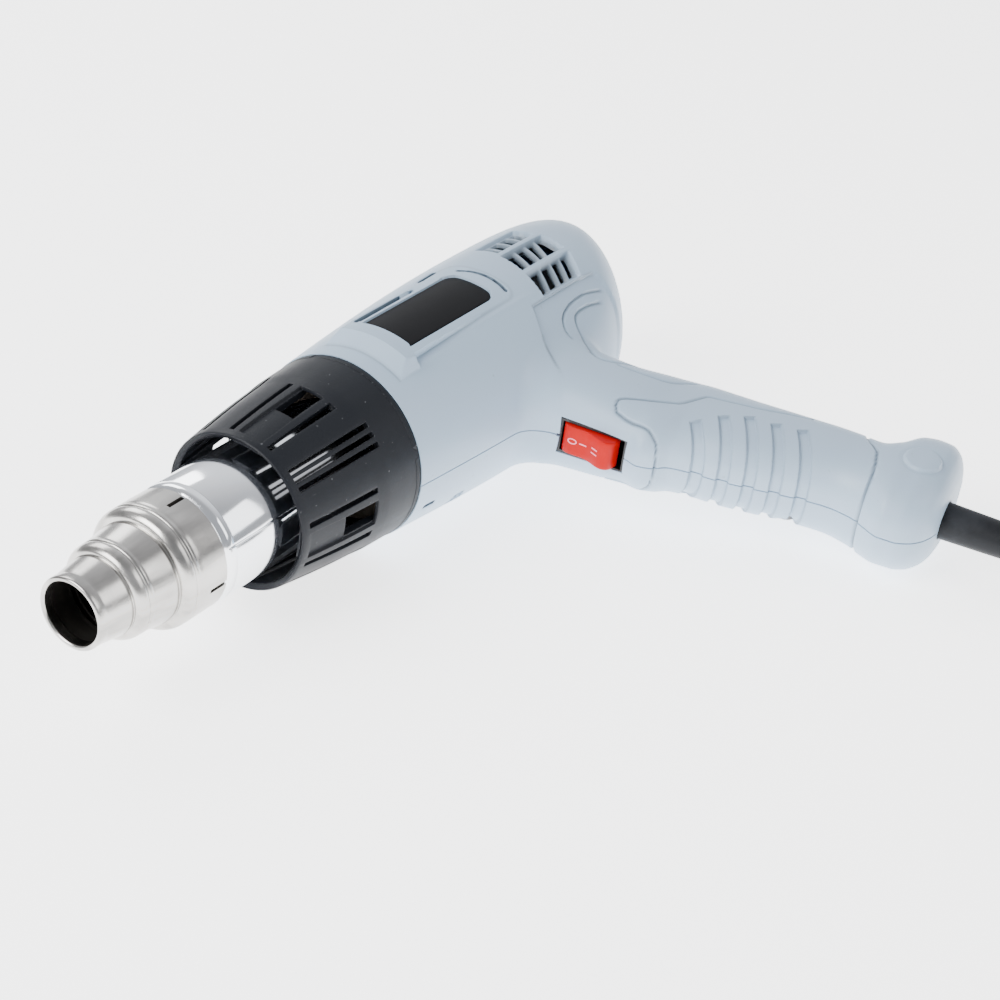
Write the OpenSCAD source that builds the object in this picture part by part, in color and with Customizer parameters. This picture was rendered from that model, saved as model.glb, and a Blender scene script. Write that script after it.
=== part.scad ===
// Hot-air tool lying on its side: a moulded pistol housing in two halves, a steel air tube
// in a slotted guard, a stepped reducer nozzle, fan, motor, heater, switch and mains lead.
// The barrel runs along X and the air leaves towards -X. The outlet's centre is the origin.
// Before it is laid down, the handle points to -Y and the left side points up to +Z.

/* [Reducer nozzle] */
// Bore of the air outlet
outlet_bore_d = 17.6; // [14:0.2:18.4]
// Outside of the rolled lip at the outlet
lip_d = 20.6; // [20.2:0.1:21]
// Length of the rolled lip, and of the straight bore in it
lip_len = 3; // [2:0.5:4]
// Outside of the neck behind the lip
neck_front_d = 20.4; // [20:0.1:21]
// Outside of the neck at the first step
neck_rear_d = 22; // [21.4:0.1:23]
// Outside of the middle part at its front
middle_front_d = 26.6; // [25:0.2:27.4]
// Outside of the middle part at the second step
middle_rear_d = 28.4; // [27.8:0.2:29.4]
// From the outlet to the first step
neck_len = 8.2; // [7:0.2:10]
// From the outlet to the second step
middle_end = 20.6; // [18:0.2:23]
// From the outlet to the sleeve that grips the tube
sleeve_start = 27.4; // [25:0.2:29]
// From the outlet to the rear edge of the nozzle
nozzle_len = 39.6; // [37:0.2:42]
// Thickness of the nozzle's sheet steel
nozzle_wall = 0.7; // [0.5:0.05:0.9]
// Number of spring slits in the sleeve
slit_count = 4; // [2:1:8]
// Length of a spring slit
slit_len = 6; // [3:0.5:8]

/* [Air tube] */
// Outside of the steel air tube
tube_d = 35; // [33:0.5:36]
// Thickness of the tube's wall
tube_wall = 0.6; // [0.4:0.1:1]
// How far the tube's mouth is drawn in under the nozzle
mouth_inset = 1; // [0.9:0.05:1.3]
// From the outlet to the tube's rear end, inside the housing
tube_end = 127; // [124:1:130]

/* [Heat guard] */
// From the outlet to the guard's front edge
guard_start = 63.5; // [60:0.5:68]
// Outside of the guard at its front edge
guard_front_d = 46.8; // [45:0.2:49]
// Outside of the guard at its rear edge
guard_rear_d = 55.4; // [53:0.2:56]
// How far the guard's side bulges from a straight cone
guard_bulge = 0.7; // [0:0.1:1.2]
// Thickness of the guard's wall
guard_wall = 2; // [1.6:0.1:2.4]
// Length of the spigot that turns into the housing
spigot_len = 6; // [4:0.5:8]

/* [Housing] */
// From the outlet to the front edge of the housing
body_start = 110; // [106:1:112]
// Outside of the housing at its front edge
body_front_d = 56; // [54:0.5:57]
// Outside of the housing at its widest
body_d = 64; // [62:0.5:66]
// From the outlet to where the rear end begins to round off
body_full = 186; // [182:1:192]
// From the outlet to the rear end of the housing
body_end = 242; // [238:1:246]
// Slope of the rear end, longer at the top
rear_slope = 0.58; // [0.4:0.02:0.66]
// Thickness of the housing's wall
wall = 2.4; // [1.8:0.1:3]

/* [Handle] */
// Angle of the handle's line from square to the barrel
rake = 9.5; // [6:0.5:12]
// From the barrel's axis to the end of the butt, along the handle
grip_len = 147; // [140:1:154]
// Front to back size of the grip
grip_depth = 34; // [32:0.5:37]
// Side to side size of the grip
grip_width = 28; // [26:0.5:31]
// Number of finger channels round the front of the grip
channel_count = 5; // [3:1:6]
// Width of a finger channel
channel_w = 3.1; // [2.4:0.1:4]
// Depth of a finger channel
channel_depth = 0.6; // [0.3:0.1:1]

/* [Switch] */
// Length of the switch opening along the handle
switch_l = 21.2; // [20:0.2:23]
// Width of the switch opening
switch_w = 11.4; // [10:0.2:13]
// Depth of the switch body behind the opening
switch_depth = 16; // [14:0.5:18]
// Swing of the rocker from 0 to II
rocker_swing = 24; // [16:1:28]

/* [Fan and motor] */
// Outside of the fan
fan_d = 52; // [48:0.5:53]
// Number of fan blades
blade_count = 9; // [5:1:12]
// Outside of the motor's can
motor_d = 36; // [32:0.5:37]
// Length of the motor's can
motor_l = 46; // [40:1:50]
// Thickness of the motor's shaft
shaft_d = 3.2; // [2.5:0.1:4]

/* [Mains lead] */
// Thickness of the lead
cord_d = 7; // [6:0.5:8]
// Thickness of the bend protector at the butt
relief_d = 11.2; // [10.5:0.1:12.4]
// Thickness of the bend protector at its tip
relief_tip_d = 8.6; // [8.2:0.1:9.4]
// Length of the bend protector outside the butt
relief_len = 48; // [35:1:58]

/* [Hidden] */

// Fits and clearances
press_gap = 0.05;
run_gap = 0.05;
seat_gap = 0.1;
part_gap = 0.3;
over = 0.5;
small_step = 1;
wide_step = 2;
round_fn = 96;

// Worked out from the nozzle
outlet_r = outlet_bore_d / 2;
lip_r = lip_d / 2;
tube_r = tube_d / 2;
mouth_r = tube_r - mouth_inset;
sleeve_r = mouth_r + seat_gap + nozzle_wall;
sleeve_inner_r = mouth_r + seat_gap;
slit_w = 1;

// Worked out from the housing
body_front_r = body_front_d / 2;
body_r = body_d / 2;
butt_half_width = 1.157 * grip_width / 2;
lie_tilt = asin((body_r - butt_half_width) / (grip_len * cos(rake)));
floor_z = -body_r;
grip_root = 180;

// Details of the nozzle and tube
slit_turn = 5.5;
edge_round = 0.4;
shoulder_len = 5.4;
ridge_drop = 0.35;
ridge_r = sleeve_r - ridge_drop;
mouth_overlap = 10;
mouth_start = nozzle_len - mouth_overlap;
flare_gap = 0.6;
flare_len = 1.8;
flare_start = nozzle_len + flare_gap;
flare_end = flare_start + flare_len;
tube_bore_r = tube_r - tube_wall;
seam_turn = 65.5;
seam_cut_w = 0.4;
seam_cut_depth = 0.25;

// Details of the guard
guard_front_r = guard_front_d / 2;
guard_rear_r = guard_rear_d / 2;
spigot_step = 3;
spigot_wall = 2.2;
spigot_r = body_front_r - spigot_step;
spigot_bore_r = spigot_r - spigot_wall;
guard_rim = 2.6;
guard_steps = 8;
side_turn = 2;
side_slot_back = 18;
corner_slot_back = 13.5;
side_slot_end = body_start - side_slot_back;
corner_slot_end = body_start - corner_slot_back;
side_slot_turns = [-15.5, 16];
side_slot_w = 1.6;
wide_slot_w = 2.4;
corner_slot_turns = [-6.5, 0, 6.5];
corner_slot_w = 1.6;
corner_turn = 45;
pocket_w = 8;
pocket_depth = 0.9;
window_len = 12;
window_w = 6.4;

// Details of the ring, the heater and the air's way
ring_inset = 1;
ring_gap = 0.4;
flange_len = 3.8;
flange_lip = 0.9;
rib_len = 2.4;
ring_start = body_start + ring_inset;
ring_r = spigot_bore_r - ring_gap;
front_bore_r = spigot_r + seat_gap;
groove_r = front_bore_r + flange_lip;
flange_r = groove_r - seat_gap;
flange_start = body_start + spigot_len + part_gap;
flange_end = flange_start + flange_len;
groove_start = flange_start - seat_gap;
groove_end = flange_end + seat_gap;
cavity_start = groove_end + rib_len;
rib_gap = 1;
rib_bore_r = tube_r + rib_gap;
liner_back = 4;
liner_start = flare_end + liner_back;
liner_wall = 0.55;
disc_back = 5;
disc_start = tube_end - disc_back;
disc_len = 2.5;
disc_hole_r = 3.2;
disc_hole_ring_r = 10;
mica = 0.8;
mica_back = 6;
mica_start = liner_start + mica_back;
mica_end_len = 5;
mica_rear_len = 4;
mica_half = tube_bore_r - seat_gap - liner_wall - press_gap;
element_wire_r = 0.6;
element_inset = 5.9;
element_r = tube_bore_r - element_inset;
element_gap = 0.6;
mica_waist = element_r - element_wire_r - element_gap;
coil_start = mica_start + mica_end_len + small_step;
coil_end = disc_start - mica_rear_len;
coil_turns = 10;
return_r = 5;
cutout_r = 2;
cutout_len = 6;
cutout_at = 3.6;
guide_grip = 4;
guide_neck = 8.5;
guide_flare = 13.5;
guide_barrel = 17;
guide_wall = 1;
fan_gap = 0.7;
guide_start = tube_end - guide_grip;
guide_stop = tube_end + seat_gap;
flare_from = tube_end + guide_neck;
flare_to = flare_from + guide_flare;
guide_end = flare_to + guide_barrel;
guide_r = fan_d / 2 + fan_gap + guide_wall;
guide_flange_w = 2;
guide_flange_back = 6;
guide_flange = guide_end - guide_flange_back;

// Details of the fan and motor
fan_r = fan_d / 2;
shaft_r = shaft_d / 2;
fan_back = 5;
fan_len = 9;
fan_start = flare_to + fan_back;
fan_end = fan_start + fan_len;
hub_r = 9;
blade_chord = 9;
blade_t = 1.2;
blade_pitch = 35;
motor_r = motor_d / 2;
can_start = guide_end + wide_step;
can_end = can_start + motor_l;
can_wall = 1.4;
bush_r = 4;
bush_len = 5;
magnet_r = motor_r - can_wall - press_gap;
magnet_t = 2.55;
magnet_bore_r = magnet_r - magnet_t;
magnet_gap = 12;
armature_gap = 0.6;
armature_r = magnet_bore_r - armature_gap;
armature_back = 10;
armature_start = can_start + armature_back;
armature_end = can_end - armature_back;
armature_slots = 5;
armature_slot_w = 2.2;
armature_slot_depth = 4.8;
winding_drop = 2.8;
winding_r = armature_r - winding_drop;
winding_len = 3;
commutator_r = 5;
commutator_gap = 0.6;
commutator_start = armature_end + winding_len + commutator_gap;
commutator_end = can_end - small_step;
segment_w = 0.4;
brush_gap = 0.2;
brush_len = 4.4;
brush_w = 3.6;
post_t = 2;
cap_t = 4;
cap_start = can_end + seat_gap;
shaft_start = fan_start - wide_step;
shaft_end = cap_start + bush_len + over;
board_gap = 2.4;
board_start = cap_start + cap_t + board_gap;
board_t = 1.5;
board_r = 15;
board_post_r = 1.5;
board_post_at = 11;
rectifier_l = 6;
rectifier_w = 4;
rectifier_t = 2.5;
rectifier_at = 5;
mount_len = 8;
mount_wall = 2.5;
mount_arm_w = 3.2;
mount_arm_len = 4;

// Details of the housing
dome_roundness = 3.4;
dome_steps = 12;
dome_sides = 48;
dome_step = 0.06;
front_steps = 12;
lip_back = 6;
lip_slope = 2.2;
lip_len_back = 8;
lip_start = body_start + lip_back;
lip_top = lip_start + lip_slope;
lip_end = lip_start + lip_len_back;
lip_half = 12;
frame_front = 11;
frame_end = body_full - frame_front;
frame_half = 11.5;
frame_drop = 0.35;
frame_r = body_r - frame_drop;
frame_corner_r = 5;
plate_rear = 6.6;
plate_start = lip_end + wide_step;
plate_end = frame_end - plate_rear;
plate_half = 8.3;
plate_drop = 0.45;
plate_t = 0.9;
plate_r = frame_r - plate_drop;
plate_floor_r = plate_r - plate_t;
plate_corner_r = 3.6;
frame_slot_w = 1.6;
frame_slot_turns = [-19, -27];
frame_slot_shares = [[-0.024, 0.625], [0.84, 1.014]];
rear_slot_back = 2.6;
rear_slot_x = frame_end - rear_slot_back;
rear_slot_turns = [10, -16.5];
vent_back = 1.6;
vent_start = body_full + vent_back;
vent_len = 19.4;
vent_fins = 3;
vent_fin_w = 1.9;
vent_turns = [-17, 2.2, 21.7];
vent_w = 7.9;
cut_in_r = body_front_r - wide_step;
cut_out_r = body_r + wall;
under_slot_turn = 111;
under_slot_back = 4.8;
under_slot_len = 5;
under_slot_w = 1.8;
boss_r = 3.4;
pilot_r = 1.35;
screw_r = pilot_r - press_gap;
screw_hole_r = 1.7;
head_r = 2.8;
head_bore_r = 3.1;
head_t = 1.9;
screw_reach = 7;
barrel_screw_shares = [[0.182, 0.734, 0.266], [0.182, -0.734, 0.266], [0.898, 0.375, 0.344]];
handle_screw_shares = [[0.422, 0.276, 0.268], [0.707, -0.306, 0.268], [0.912, 0.5, 0.304]];
butt_inner_rows = 16;

// Finger channels: place along the grip at the front, and how far back each one starts
channel_first_share = 0.539;
channel_pitch = 7.5;
channel_tilt = 29;
channel_back_shares = [-0.42, -0.24, -0.12, -0.11, -0.1];
channel_front_share = 0.62;

// Details of the switch
switch_mid_share = 0.32;
switch_mid = switch_mid_share * grip_len;
rim_share = 0.7235;
rim_d = rim_share * grip_depth;
rim_t = 3;
pivot_drop = 4.6;
pocket_depth_share = 0.57;
block_front = rim_d - rim_t;
block_back = rim_d - switch_depth;
block_side = 0.5;
block_flank = 0.9;
block_half_l = switch_l / 2 + block_side;
block_half_w = switch_w / 2 + block_flank;
rim_wall = 0.8;
pocket_half_l = switch_l / 2 - rim_wall - seat_gap;
pocket_half_w = switch_w / 2 - rim_wall;
pocket_floor = rim_d - pocket_depth_share * switch_depth;
pivot_d = rim_d - pivot_drop;
pivot_r = 1.2;
pivot_inset = 0.6;
pivot_reach = block_half_w - pivot_inset;
rocker_half_w = pocket_half_w - part_gap;
rocker_side = 1.1;
rocker_half_l = pocket_half_l - rocker_side;
rocker_high = 7.3;
rocker_shares = [
    [-1, 0.27], [-1, 0.6], [-0.92, 0.85], [-0.74, 1], [-0.53, 1], [0, 0.86],
    [0.53, 1], [0.74, 1], [0.92, 0.85], [1, 0.6], [1, 0.27], [0.29, -0.41], [-0.29, -0.41]
];
blade_apart = 6;
blade_side = 3;
blade_l = 6;
blade_w = 4.8;
blade_thick = 0.8;
lead_r = 1.1;
lead_straight = 1.2;

// Wires to the board: shares of the handle's length and depth, then of the barrel's length and radius
lead_up_shares = [[0.272, 0.07], [0.248, 0.132], [0.204, 0.191]];
lead_back_shares = [[0.18, 0.731], [0.108, 0.65], [0.047, 0.631], [0, 0.563]];
// Wires to the mains lead: shares of the handle's length and depth, and of their distance apart
lead_down_shares = [[0.371, 0.02, 1], [0.422, 0.044, 1], [0.51, 0.015, 0.6], [0.599, 0, 0.5]];

// Details of the suppressor
capacitor_l = 9;
capacitor_half_w = 5;
capacitor_drop = 2.6;
capacitor_t = 8;

// Details of the mains lead
cord_r = cord_d / 2;
cord_gap = 0.05;
relief_r = relief_d / 2;
relief_tip_r = relief_tip_d / 2;
relief_neck = 2;
collar_back = 11.9;
collar_start = grip_len - collar_back;
collar_len = 3;
collar_lip = 1.9;
collar_r = relief_r + collar_lip;
clamp_back = 17.1;
clamp_s = collar_start - clamp_back;
clamp_len = 6;
clamp_t = 2;
clamp_edge = 2;
clamp_screw_gap = 3.5;
clamp_screw_at = cord_r + clamp_screw_gap;
clamp_half = clamp_screw_at + clamp_edge;
clamp_post_r = 2.4;
cradle_half = clamp_screw_at - clamp_edge;
cradle_depth = grip_width / 2 - wall;
inner_cord_len = 23;
inner_cord_start = clamp_s - inner_cord_len;
tip_s = grip_len + relief_len;
cord_z = floor_z + cord_r;
cord_sides = 8;
coil_sides = 6;
coil_steps = 24;
coil_mid = [170, -275];
coil_r = 54;
coil_pitch = 7.6;
coil_lift = 7.7;
low_turns = 2.75;
climb_turns = 0.5;
spread_turns = 0.5;
top_turns = 1.5;

// Details of the plug
plug_half = 12;
plug_r = 18.4;
plug_neck_r = 6.6;
plug_tail_r = 4.6;
plug_tail = 128;
plug_tail_len = 18;
plug_cone_len = 10;
plug_len = 24;
plug_neck = plug_tail - plug_tail_len;
plug_shoulder = plug_neck - plug_cone_len;
plug_face = plug_shoulder - plug_len;
plug_y = -324;
plug_z = floor_z + plug_half;
pin_r = 2.4;
pin_len = 19;
pin_half_gap = 9.5;
pin_tip = 1;

// Outline of the handle: place along the grip, then front, back and half width
grip_shares = [
    [0.122, 0.853, 0.412, 1.43], [0.19, 0.81, 0.324, 1.286], [0.245, 0.747, 0.282, 1.186],
    [0.313, 0.741, 0.288, 1.129], [0.388, 0.753, 0.382, 1.057], [0.422, 0.8, 0.441, 1.014],
    [0.449, 0.765, 0.465, 1], [0.476, 0.665, 0.474, 0.993], [0.517, 0.624, 0.474, 0.993],
    [0.571, 0.6, 0.471, 1], [0.626, 0.556, 0.476, 1], [0.68, 0.5, 0.485, 0.993],
    [0.735, 0.447, 0.485, 1], [0.789, 0.418, 0.465, 1.014], [0.837, 0.45, 0.426, 1.05],
    [0.871, 0.529, 0.529, 1.114], [0.905, 0.603, 0.755, 1.157], [0.935, 0.6, 0.8, 1.157],
    [0.96, 0.55, 0.79, 1.13], [0.98, 0.46, 0.72, 1.02], [0.994, 0.34, 0.6, 0.85], [1, 0.25, 0.5, 0.68]
];
grip_roundness = 2.5;
grip_sides = 32;

// Shapes made from rings of points
function power(v, p) = sign(v) * pow(abs(v), p);

// One oval section of the handle, set in by a wall's thickness
function grip_ring(row, inset, sides) =
    let (
        front = row[1] * grip_depth - inset,
        back = row[2] * grip_depth - inset,
        half = row[3] * grip_width / 2 - inset,
        middle = (back - front) / 2,
        deep = (back + front) / 2
    )
    [
        for (i = [0:sides - 1])
        let (a = 360 * i / sides)
        [
            row[0] * grip_len,
            middle + deep * power(cos(a), 2 / grip_roundness),
            half * power(sin(a), 2 / grip_roundness)
        ]
    ];

// A closed skin over rings that all have the same number of points
module skin(rings) {
    count = len(rings);
    sides = len(rings[0]);
    points = [for (ring = rings) each ring];
    walls = [
        for (i = [0:count - 2], j = [0:sides - 1])
        let (a = i * sides + j, b = i * sides + (j + 1) % sides)
        each [[a, b + sides, b], [a, a + sides, b + sides]]
    ];
    first = [for (j = [0:sides - 1]) j];
    last = [for (j = [0:sides - 1]) count * sides - 1 - j];
    polyhedron(points, concat([first], walls, [last]));
}

// Places
module laid() rotate([lie_tilt, 0, 0]) children();
module in_grip() translate([grip_root, 0, 0]) rotate([0, 0, rake - 90]) children();
module turned() rotate([0, 90, 0]) rotate_extrude($fn = round_fn) children();

// Rings along the barrel's axis
function shoulder(r0, x0, r1, x1) = [
    for (t = [0:15:90]) [r0 + (r1 - r0) * sin(t), x0 + (x1 - x0) * (1 - cos(t))]
];
function backwards(list) = [for (i = [len(list) - 1:-1:0]) list[i]];

module ring_x(start, stop, outer, inner) {
    turned() polygon([[inner, start], [outer, start], [outer, stop], [inner, stop]]);
}

module rod_x(start, stop, radius) {
    translate([start, 0, 0]) rotate([0, 90, 0]) cylinder(r = radius, h = stop - start, $fn = round_fn);
}

// A block that stands out from the barrel's axis, turned round it
module spoke(turn, start, length, width, inner, outer) {
    rotate([turn, 0, 0]) translate([start, -width / 2, inner]) cube([length, width, outer - inner]);
}

// Tubes swept along points
function unit(v) = v / norm(v);
function square_to(n, t) = unit(n - (n * t) * t);
function headings(pts) = [
    for (i = [0:len(pts) - 1])
    unit(pts[min(i + 1, len(pts) - 1)] - pts[max(i - 1, 0)])
];
function carried(ts, first) = [
    for (
        i = 0, n = square_to(first, ts[0]);
        i < len(ts);
        i = i + 1, n = i < len(ts) ? square_to(n, ts[i]) : n
    ) n
];
function swept(pts, radius, sides, first) =
    let (ts = headings(pts), ns = carried(ts, first))
    [
        for (i = [0:len(pts) - 1])
        let (n = ns[i], m = cross(ts[i], n))
        [for (j = [0:sides - 1]) pts[i] + radius * (cos(360 * j / sides) * n + sin(360 * j / sides) * m)]
    ];
function curve_point(a, b, c, d, t) =
    0.5 * (2 * b + (c - a) * t + (2 * a - 5 * b + 4 * c - d) * t * t + (3 * b - a - 3 * c + d) * t * t * t);
function curved(pts, steps) = [
    for (i = [0:len(pts) - 2], k = [0:steps - 1])
    curve_point(pts[max(i - 1, 0)], pts[i], pts[i + 1], pts[min(i + 2, len(pts) - 1)], k / steps),
    pts[len(pts) - 1]
];

// Places in the handle, and the same after the tool is laid down
function grip_at(s, d, z) = [
    grip_root + s * sin(rake) + d * cos(rake),
    d * sin(rake) - s * cos(rake),
    z
];
function laid_at(p) = [
    p[0],
    p[1] * cos(lie_tilt) - p[2] * sin(lie_tilt),
    p[1] * sin(lie_tilt) + p[2] * cos(lie_tilt)
];

// Stepped nozzle of sheet steel that pushes over the tube's mouth
module reducer_nozzle() {
    neck_front_r = neck_front_d / 2;
    neck_rear_r = neck_rear_d / 2;
    middle_front_r = middle_front_d / 2;
    middle_rear_r = middle_rear_d / 2;
    w = nozzle_wall;
    outside = concat(
        [[outlet_r, 0], [lip_r - edge_round, 0], [lip_r, edge_round]],
        [[lip_r, lip_len], [neck_front_r, lip_len]],
        shoulder(neck_rear_r, neck_len, middle_front_r, neck_len + shoulder_len),
        shoulder(middle_rear_r, middle_end, ridge_r, sleeve_start),
        [[sleeve_r, sleeve_start + edge_round], [sleeve_r, nozzle_len]]
    );
    inside = concat(
        [[outlet_r, lip_len], [neck_front_r - w, lip_len + w]],
        shoulder(neck_rear_r - w, neck_len + w, middle_front_r - w, neck_len + shoulder_len + w),
        shoulder(middle_rear_r - w, middle_end + w, ridge_r - w, sleeve_start + w),
        [[sleeve_inner_r, sleeve_start + edge_round + w], [sleeve_inner_r, nozzle_len]]
    );
    color("silver") laid() difference() {
        turned() polygon(concat(outside, backwards(inside)));
        for (i = [0:slit_count - 1])
            spoke(slit_turn + i * 360 / slit_count, nozzle_len - slit_len, slit_len + over, slit_w,
                sleeve_inner_r - over, sleeve_r + over);
    }
}

// Chromed steel tube that carries the hot air, drawn in at its mouth
module air_tube() {
    outside = [[mouth_r, mouth_start], [mouth_r, flare_start], [tube_r, flare_end], [tube_r, tube_end]];
    inside = [for (p = outside) [p[0] - tube_wall, p[1]]];
    color("lightgray") laid() difference() {
        turned() polygon(concat(outside, backwards(inside)));
        spoke(seam_turn, flare_end, tube_end - flare_end + over, seam_cut_w,
            tube_r - seam_cut_depth, tube_r + over);
    }
}

// Slotted guard of black plastic round the hot tube
function guard_radius(x) =
    let (t = (x - guard_start) / (body_start - guard_start))
    guard_front_r + (guard_rear_r - guard_front_r) * t + guard_bulge * sin(180 * t);

module guard_cut(turn, start, stop, width) {
    spoke(turn, start, stop - start, width, guard_front_r - guard_wall - over, guard_rear_r + over);
}

module heat_guard() {
    stations = [for (i = [0:guard_steps]) guard_start + (body_start - guard_start) * i / guard_steps];
    skin_line = [for (x = stations) [guard_radius(x), x]];
    bore_line = [for (i = [0:guard_steps - 1]) [guard_radius(stations[i]) - guard_wall, stations[i]]];
    pocket_line = [for (x = stations) [guard_radius(x) - pocket_depth, x]];
    slots_from = guard_start + guard_rim;
    color("dimgray") laid() difference() {
        turned() polygon(concat(
            skin_line,
            [[spigot_r, body_start], [spigot_r, body_start + spigot_len]],
            [[spigot_bore_r, body_start + spigot_len], [spigot_bore_r, body_start - guard_wall]],
            backwards(bore_line)
        ));
        for (quarter = [0:90:270]) {
            guard_cut(quarter + side_turn + side_slot_turns[0], slots_from, side_slot_end, side_slot_w);
            guard_cut(quarter + side_turn + side_slot_turns[1], slots_from, side_slot_end, wide_slot_w);
            guard_cut(quarter + side_turn, side_slot_end - window_len, side_slot_end, window_w);
            for (turn = corner_slot_turns)
                guard_cut(quarter + corner_turn + turn, slots_from, corner_slot_end, corner_slot_w);
        }
        intersection() {
            turned() polygon(concat(
                pocket_line,
                [[guard_rear_r + over, body_start], [guard_rear_r + over, guard_start]]
            ));
            for (quarter = [0:90:270])
                spoke(quarter + side_turn, slots_from, side_slot_end - slots_from, pocket_w,
                    guard_wall, body_r);
        }
    }
}

// Ring that centres the tube in the housing and holds the guard's spigot
module tube_ring() {
    color("tan") laid() turned() polygon([
        [tube_r + press_gap, ring_start], [ring_r, ring_start], [ring_r, flange_start],
        [flange_r, flange_start], [flange_r, flange_end], [tube_r + press_gap, flange_end]
    ]);
}

// Crossed mica plates with a waist for the heating wire
module heater_former() {
    waist_from = mica_start + mica_end_len;
    waist_to = disc_start - mica_rear_len + small_step;
    outline = [
        [mica_start, -mica_half], [waist_from, -mica_half], [waist_from, -mica_waist],
        [waist_to, -mica_waist], [waist_to, -mica_half], [disc_start, -mica_half],
        [disc_start, mica_half], [waist_to, mica_half], [waist_to, mica_waist],
        [waist_from, mica_waist], [waist_from, mica_half], [mica_start, mica_half]
    ];
    color("wheat") laid() for (turn = [45, 135])
        rotate([turn, 0, 0]) translate([0, 0, -mica / 2]) linear_extrude(mica) polygon(outline);
}

// Heating wire wound round the mica, with its return down the middle
module heater_coil() {
    steps = 12;
    count = coil_turns * steps;
    winding = [
        for (i = [0:count])
        let (turn = 360 * i / steps)
        [coil_start + (coil_end - coil_start) * i / count, element_r * cos(turn), element_r * sin(turn)]
    ];
    points = concat(
        [[disc_start, return_r, 0], [coil_start + element_r, return_r, 0]],
        [[coil_start + return_r / 2, return_r + small_step, 0], [coil_start, element_r - wide_step, 0]],
        winding,
        [[coil_end + wide_step, element_r, 0], [disc_start, element_r, 0]]
    );
    color("darkgray") laid() skin(swept(points, element_wire_r, 4, [0, 0, 1]));
}

// Mica sleeve that lines the tube round the heating wire
module heater_sleeve() {
    color("wheat") laid() ring_x(liner_start, disc_start, tube_bore_r - seat_gap, mica_half + press_gap);
}

// Ceramic disc with holes at the heater's rear
module heater_disc() {
    color("white") laid() difference() {
        rod_x(disc_start, disc_start + disc_len, tube_bore_r - press_gap);
        for (turn = [22.5:45:360])
            rotate([turn, 0, 0]) translate([disc_start - over, 0, disc_hole_ring_r])
                rotate([0, 90, 0]) cylinder(r = disc_hole_r, h = disc_len + 2 * over, $fn = 32);
    }
}

// Small cut-out that stands on the disc between the plates
module thermal_cutout() {
    color("gray") laid() translate([disc_start - cutout_len, -cutout_at - small_step, 0])
        rotate([0, 90, 0]) cylinder(r = cutout_r, h = cutout_len, $fn = 32);
}

// Funnel that leads the fan's air into the tube
module air_guide() {
    stop_r = tube_bore_r;
    flange_edge_r = body_radius(guide_flange) - wall - press_gap;
    color("lightslategray") laid() turned() polygon([
        [tube_r + press_gap, guide_start], [tube_r + press_gap, guide_stop], [stop_r, guide_stop],
        [stop_r, flare_from], [guide_r - guide_wall, flare_to + guide_wall],
        [guide_r - guide_wall, guide_end],
        [guide_r, guide_end], [guide_r, guide_flange + guide_flange_w],
        [flange_edge_r, guide_flange + guide_flange_w], [flange_edge_r, guide_flange],
        [guide_r, guide_flange], [guide_r, flare_to],
        [stop_r + 2 * guide_wall, flare_from - guide_wall], [stop_r + 2 * guide_wall, guide_start]
    ]);
}

// Fan with pitched blades on a hub
module fan_impeller() {
    middle = (fan_start + fan_end) / 2;
    color("dimgray") laid() difference() {
        union() {
            rod_x(fan_start, fan_end, hub_r);
            intersection() {
                rod_x(fan_start, fan_end, fan_r);
                for (i = [0:blade_count - 1])
                    rotate([i * 360 / blade_count, 0, 0]) translate([middle, 0, hub_r - over])
                        rotate([0, 0, blade_pitch]) translate([-blade_chord / 2, -blade_t / 2, 0])
                            cube([blade_chord, blade_t, fan_r - hub_r + over]);
            }
        }
        rod_x(fan_start - over, fan_end + over, shaft_r + press_gap);
    }
}

// Steel shaft through fan, armature and commutator
module motor_shaft() {
    color("silver") laid() rod_x(shaft_start, shaft_end, shaft_r);
}

// Slotted iron core with windings at both ends
module armature() {
    color("peru") laid() difference() {
        union() {
            rod_x(armature_start, armature_end, armature_r);
            rod_x(armature_start - winding_len, armature_end + winding_len, winding_r);
        }
        for (i = [0:armature_slots - 1])
            spoke(i * 360 / armature_slots, armature_start - over,
                armature_end - armature_start + 2 * over,
                armature_slot_w, armature_r - armature_slot_depth, armature_r + over);
        rod_x(armature_start - winding_len - over, armature_end + winding_len + over, shaft_r + press_gap);
    }
}

// Copper commutator with segments
module commutator() {
    color("chocolate") laid() difference() {
        rod_x(commutator_start, commutator_end, commutator_r);
        for (i = [0:armature_slots - 1])
            spoke((i + 0.5) * 360 / armature_slots, commutator_start - over,
                commutator_end - commutator_start + 2 * over, segment_w,
                commutator_r - 2 * segment_w, commutator_r + over);
        rod_x(commutator_start - over, commutator_end + over, shaft_r + press_gap);
    }
}

// Steel can of the motor, open at the rear
module motor_can() {
    hole_r = bush_r + press_gap;
    color("gray") laid() turned() polygon([
        [hole_r, can_start], [motor_r, can_start], [motor_r, can_end], [motor_r - can_wall, can_end],
        [motor_r - can_wall, can_start + can_wall], [hole_r, can_start + can_wall]
    ]);
}

// Two arc magnets inside the can
module motor_magnets() {
    from = can_start + can_wall + seat_gap;
    to = armature_end + wide_step;
    color("darkslategray") laid() difference() {
        ring_x(from, to, magnet_r, magnet_bore_r);
        translate([from - over, -motor_r, -magnet_gap / 2]) cube([to - from + 2 * over, motor_d, magnet_gap]);
    }
}

// Bronze bushes at both ends of the shaft
module motor_bushes() {
    color("goldenrod") laid() {
        ring_x(can_start - small_step, can_start - small_step + bush_len, bush_r, shaft_r + run_gap);
        ring_x(cap_start, cap_start + bush_len, bush_r, shaft_r + run_gap);
    }
}

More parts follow.
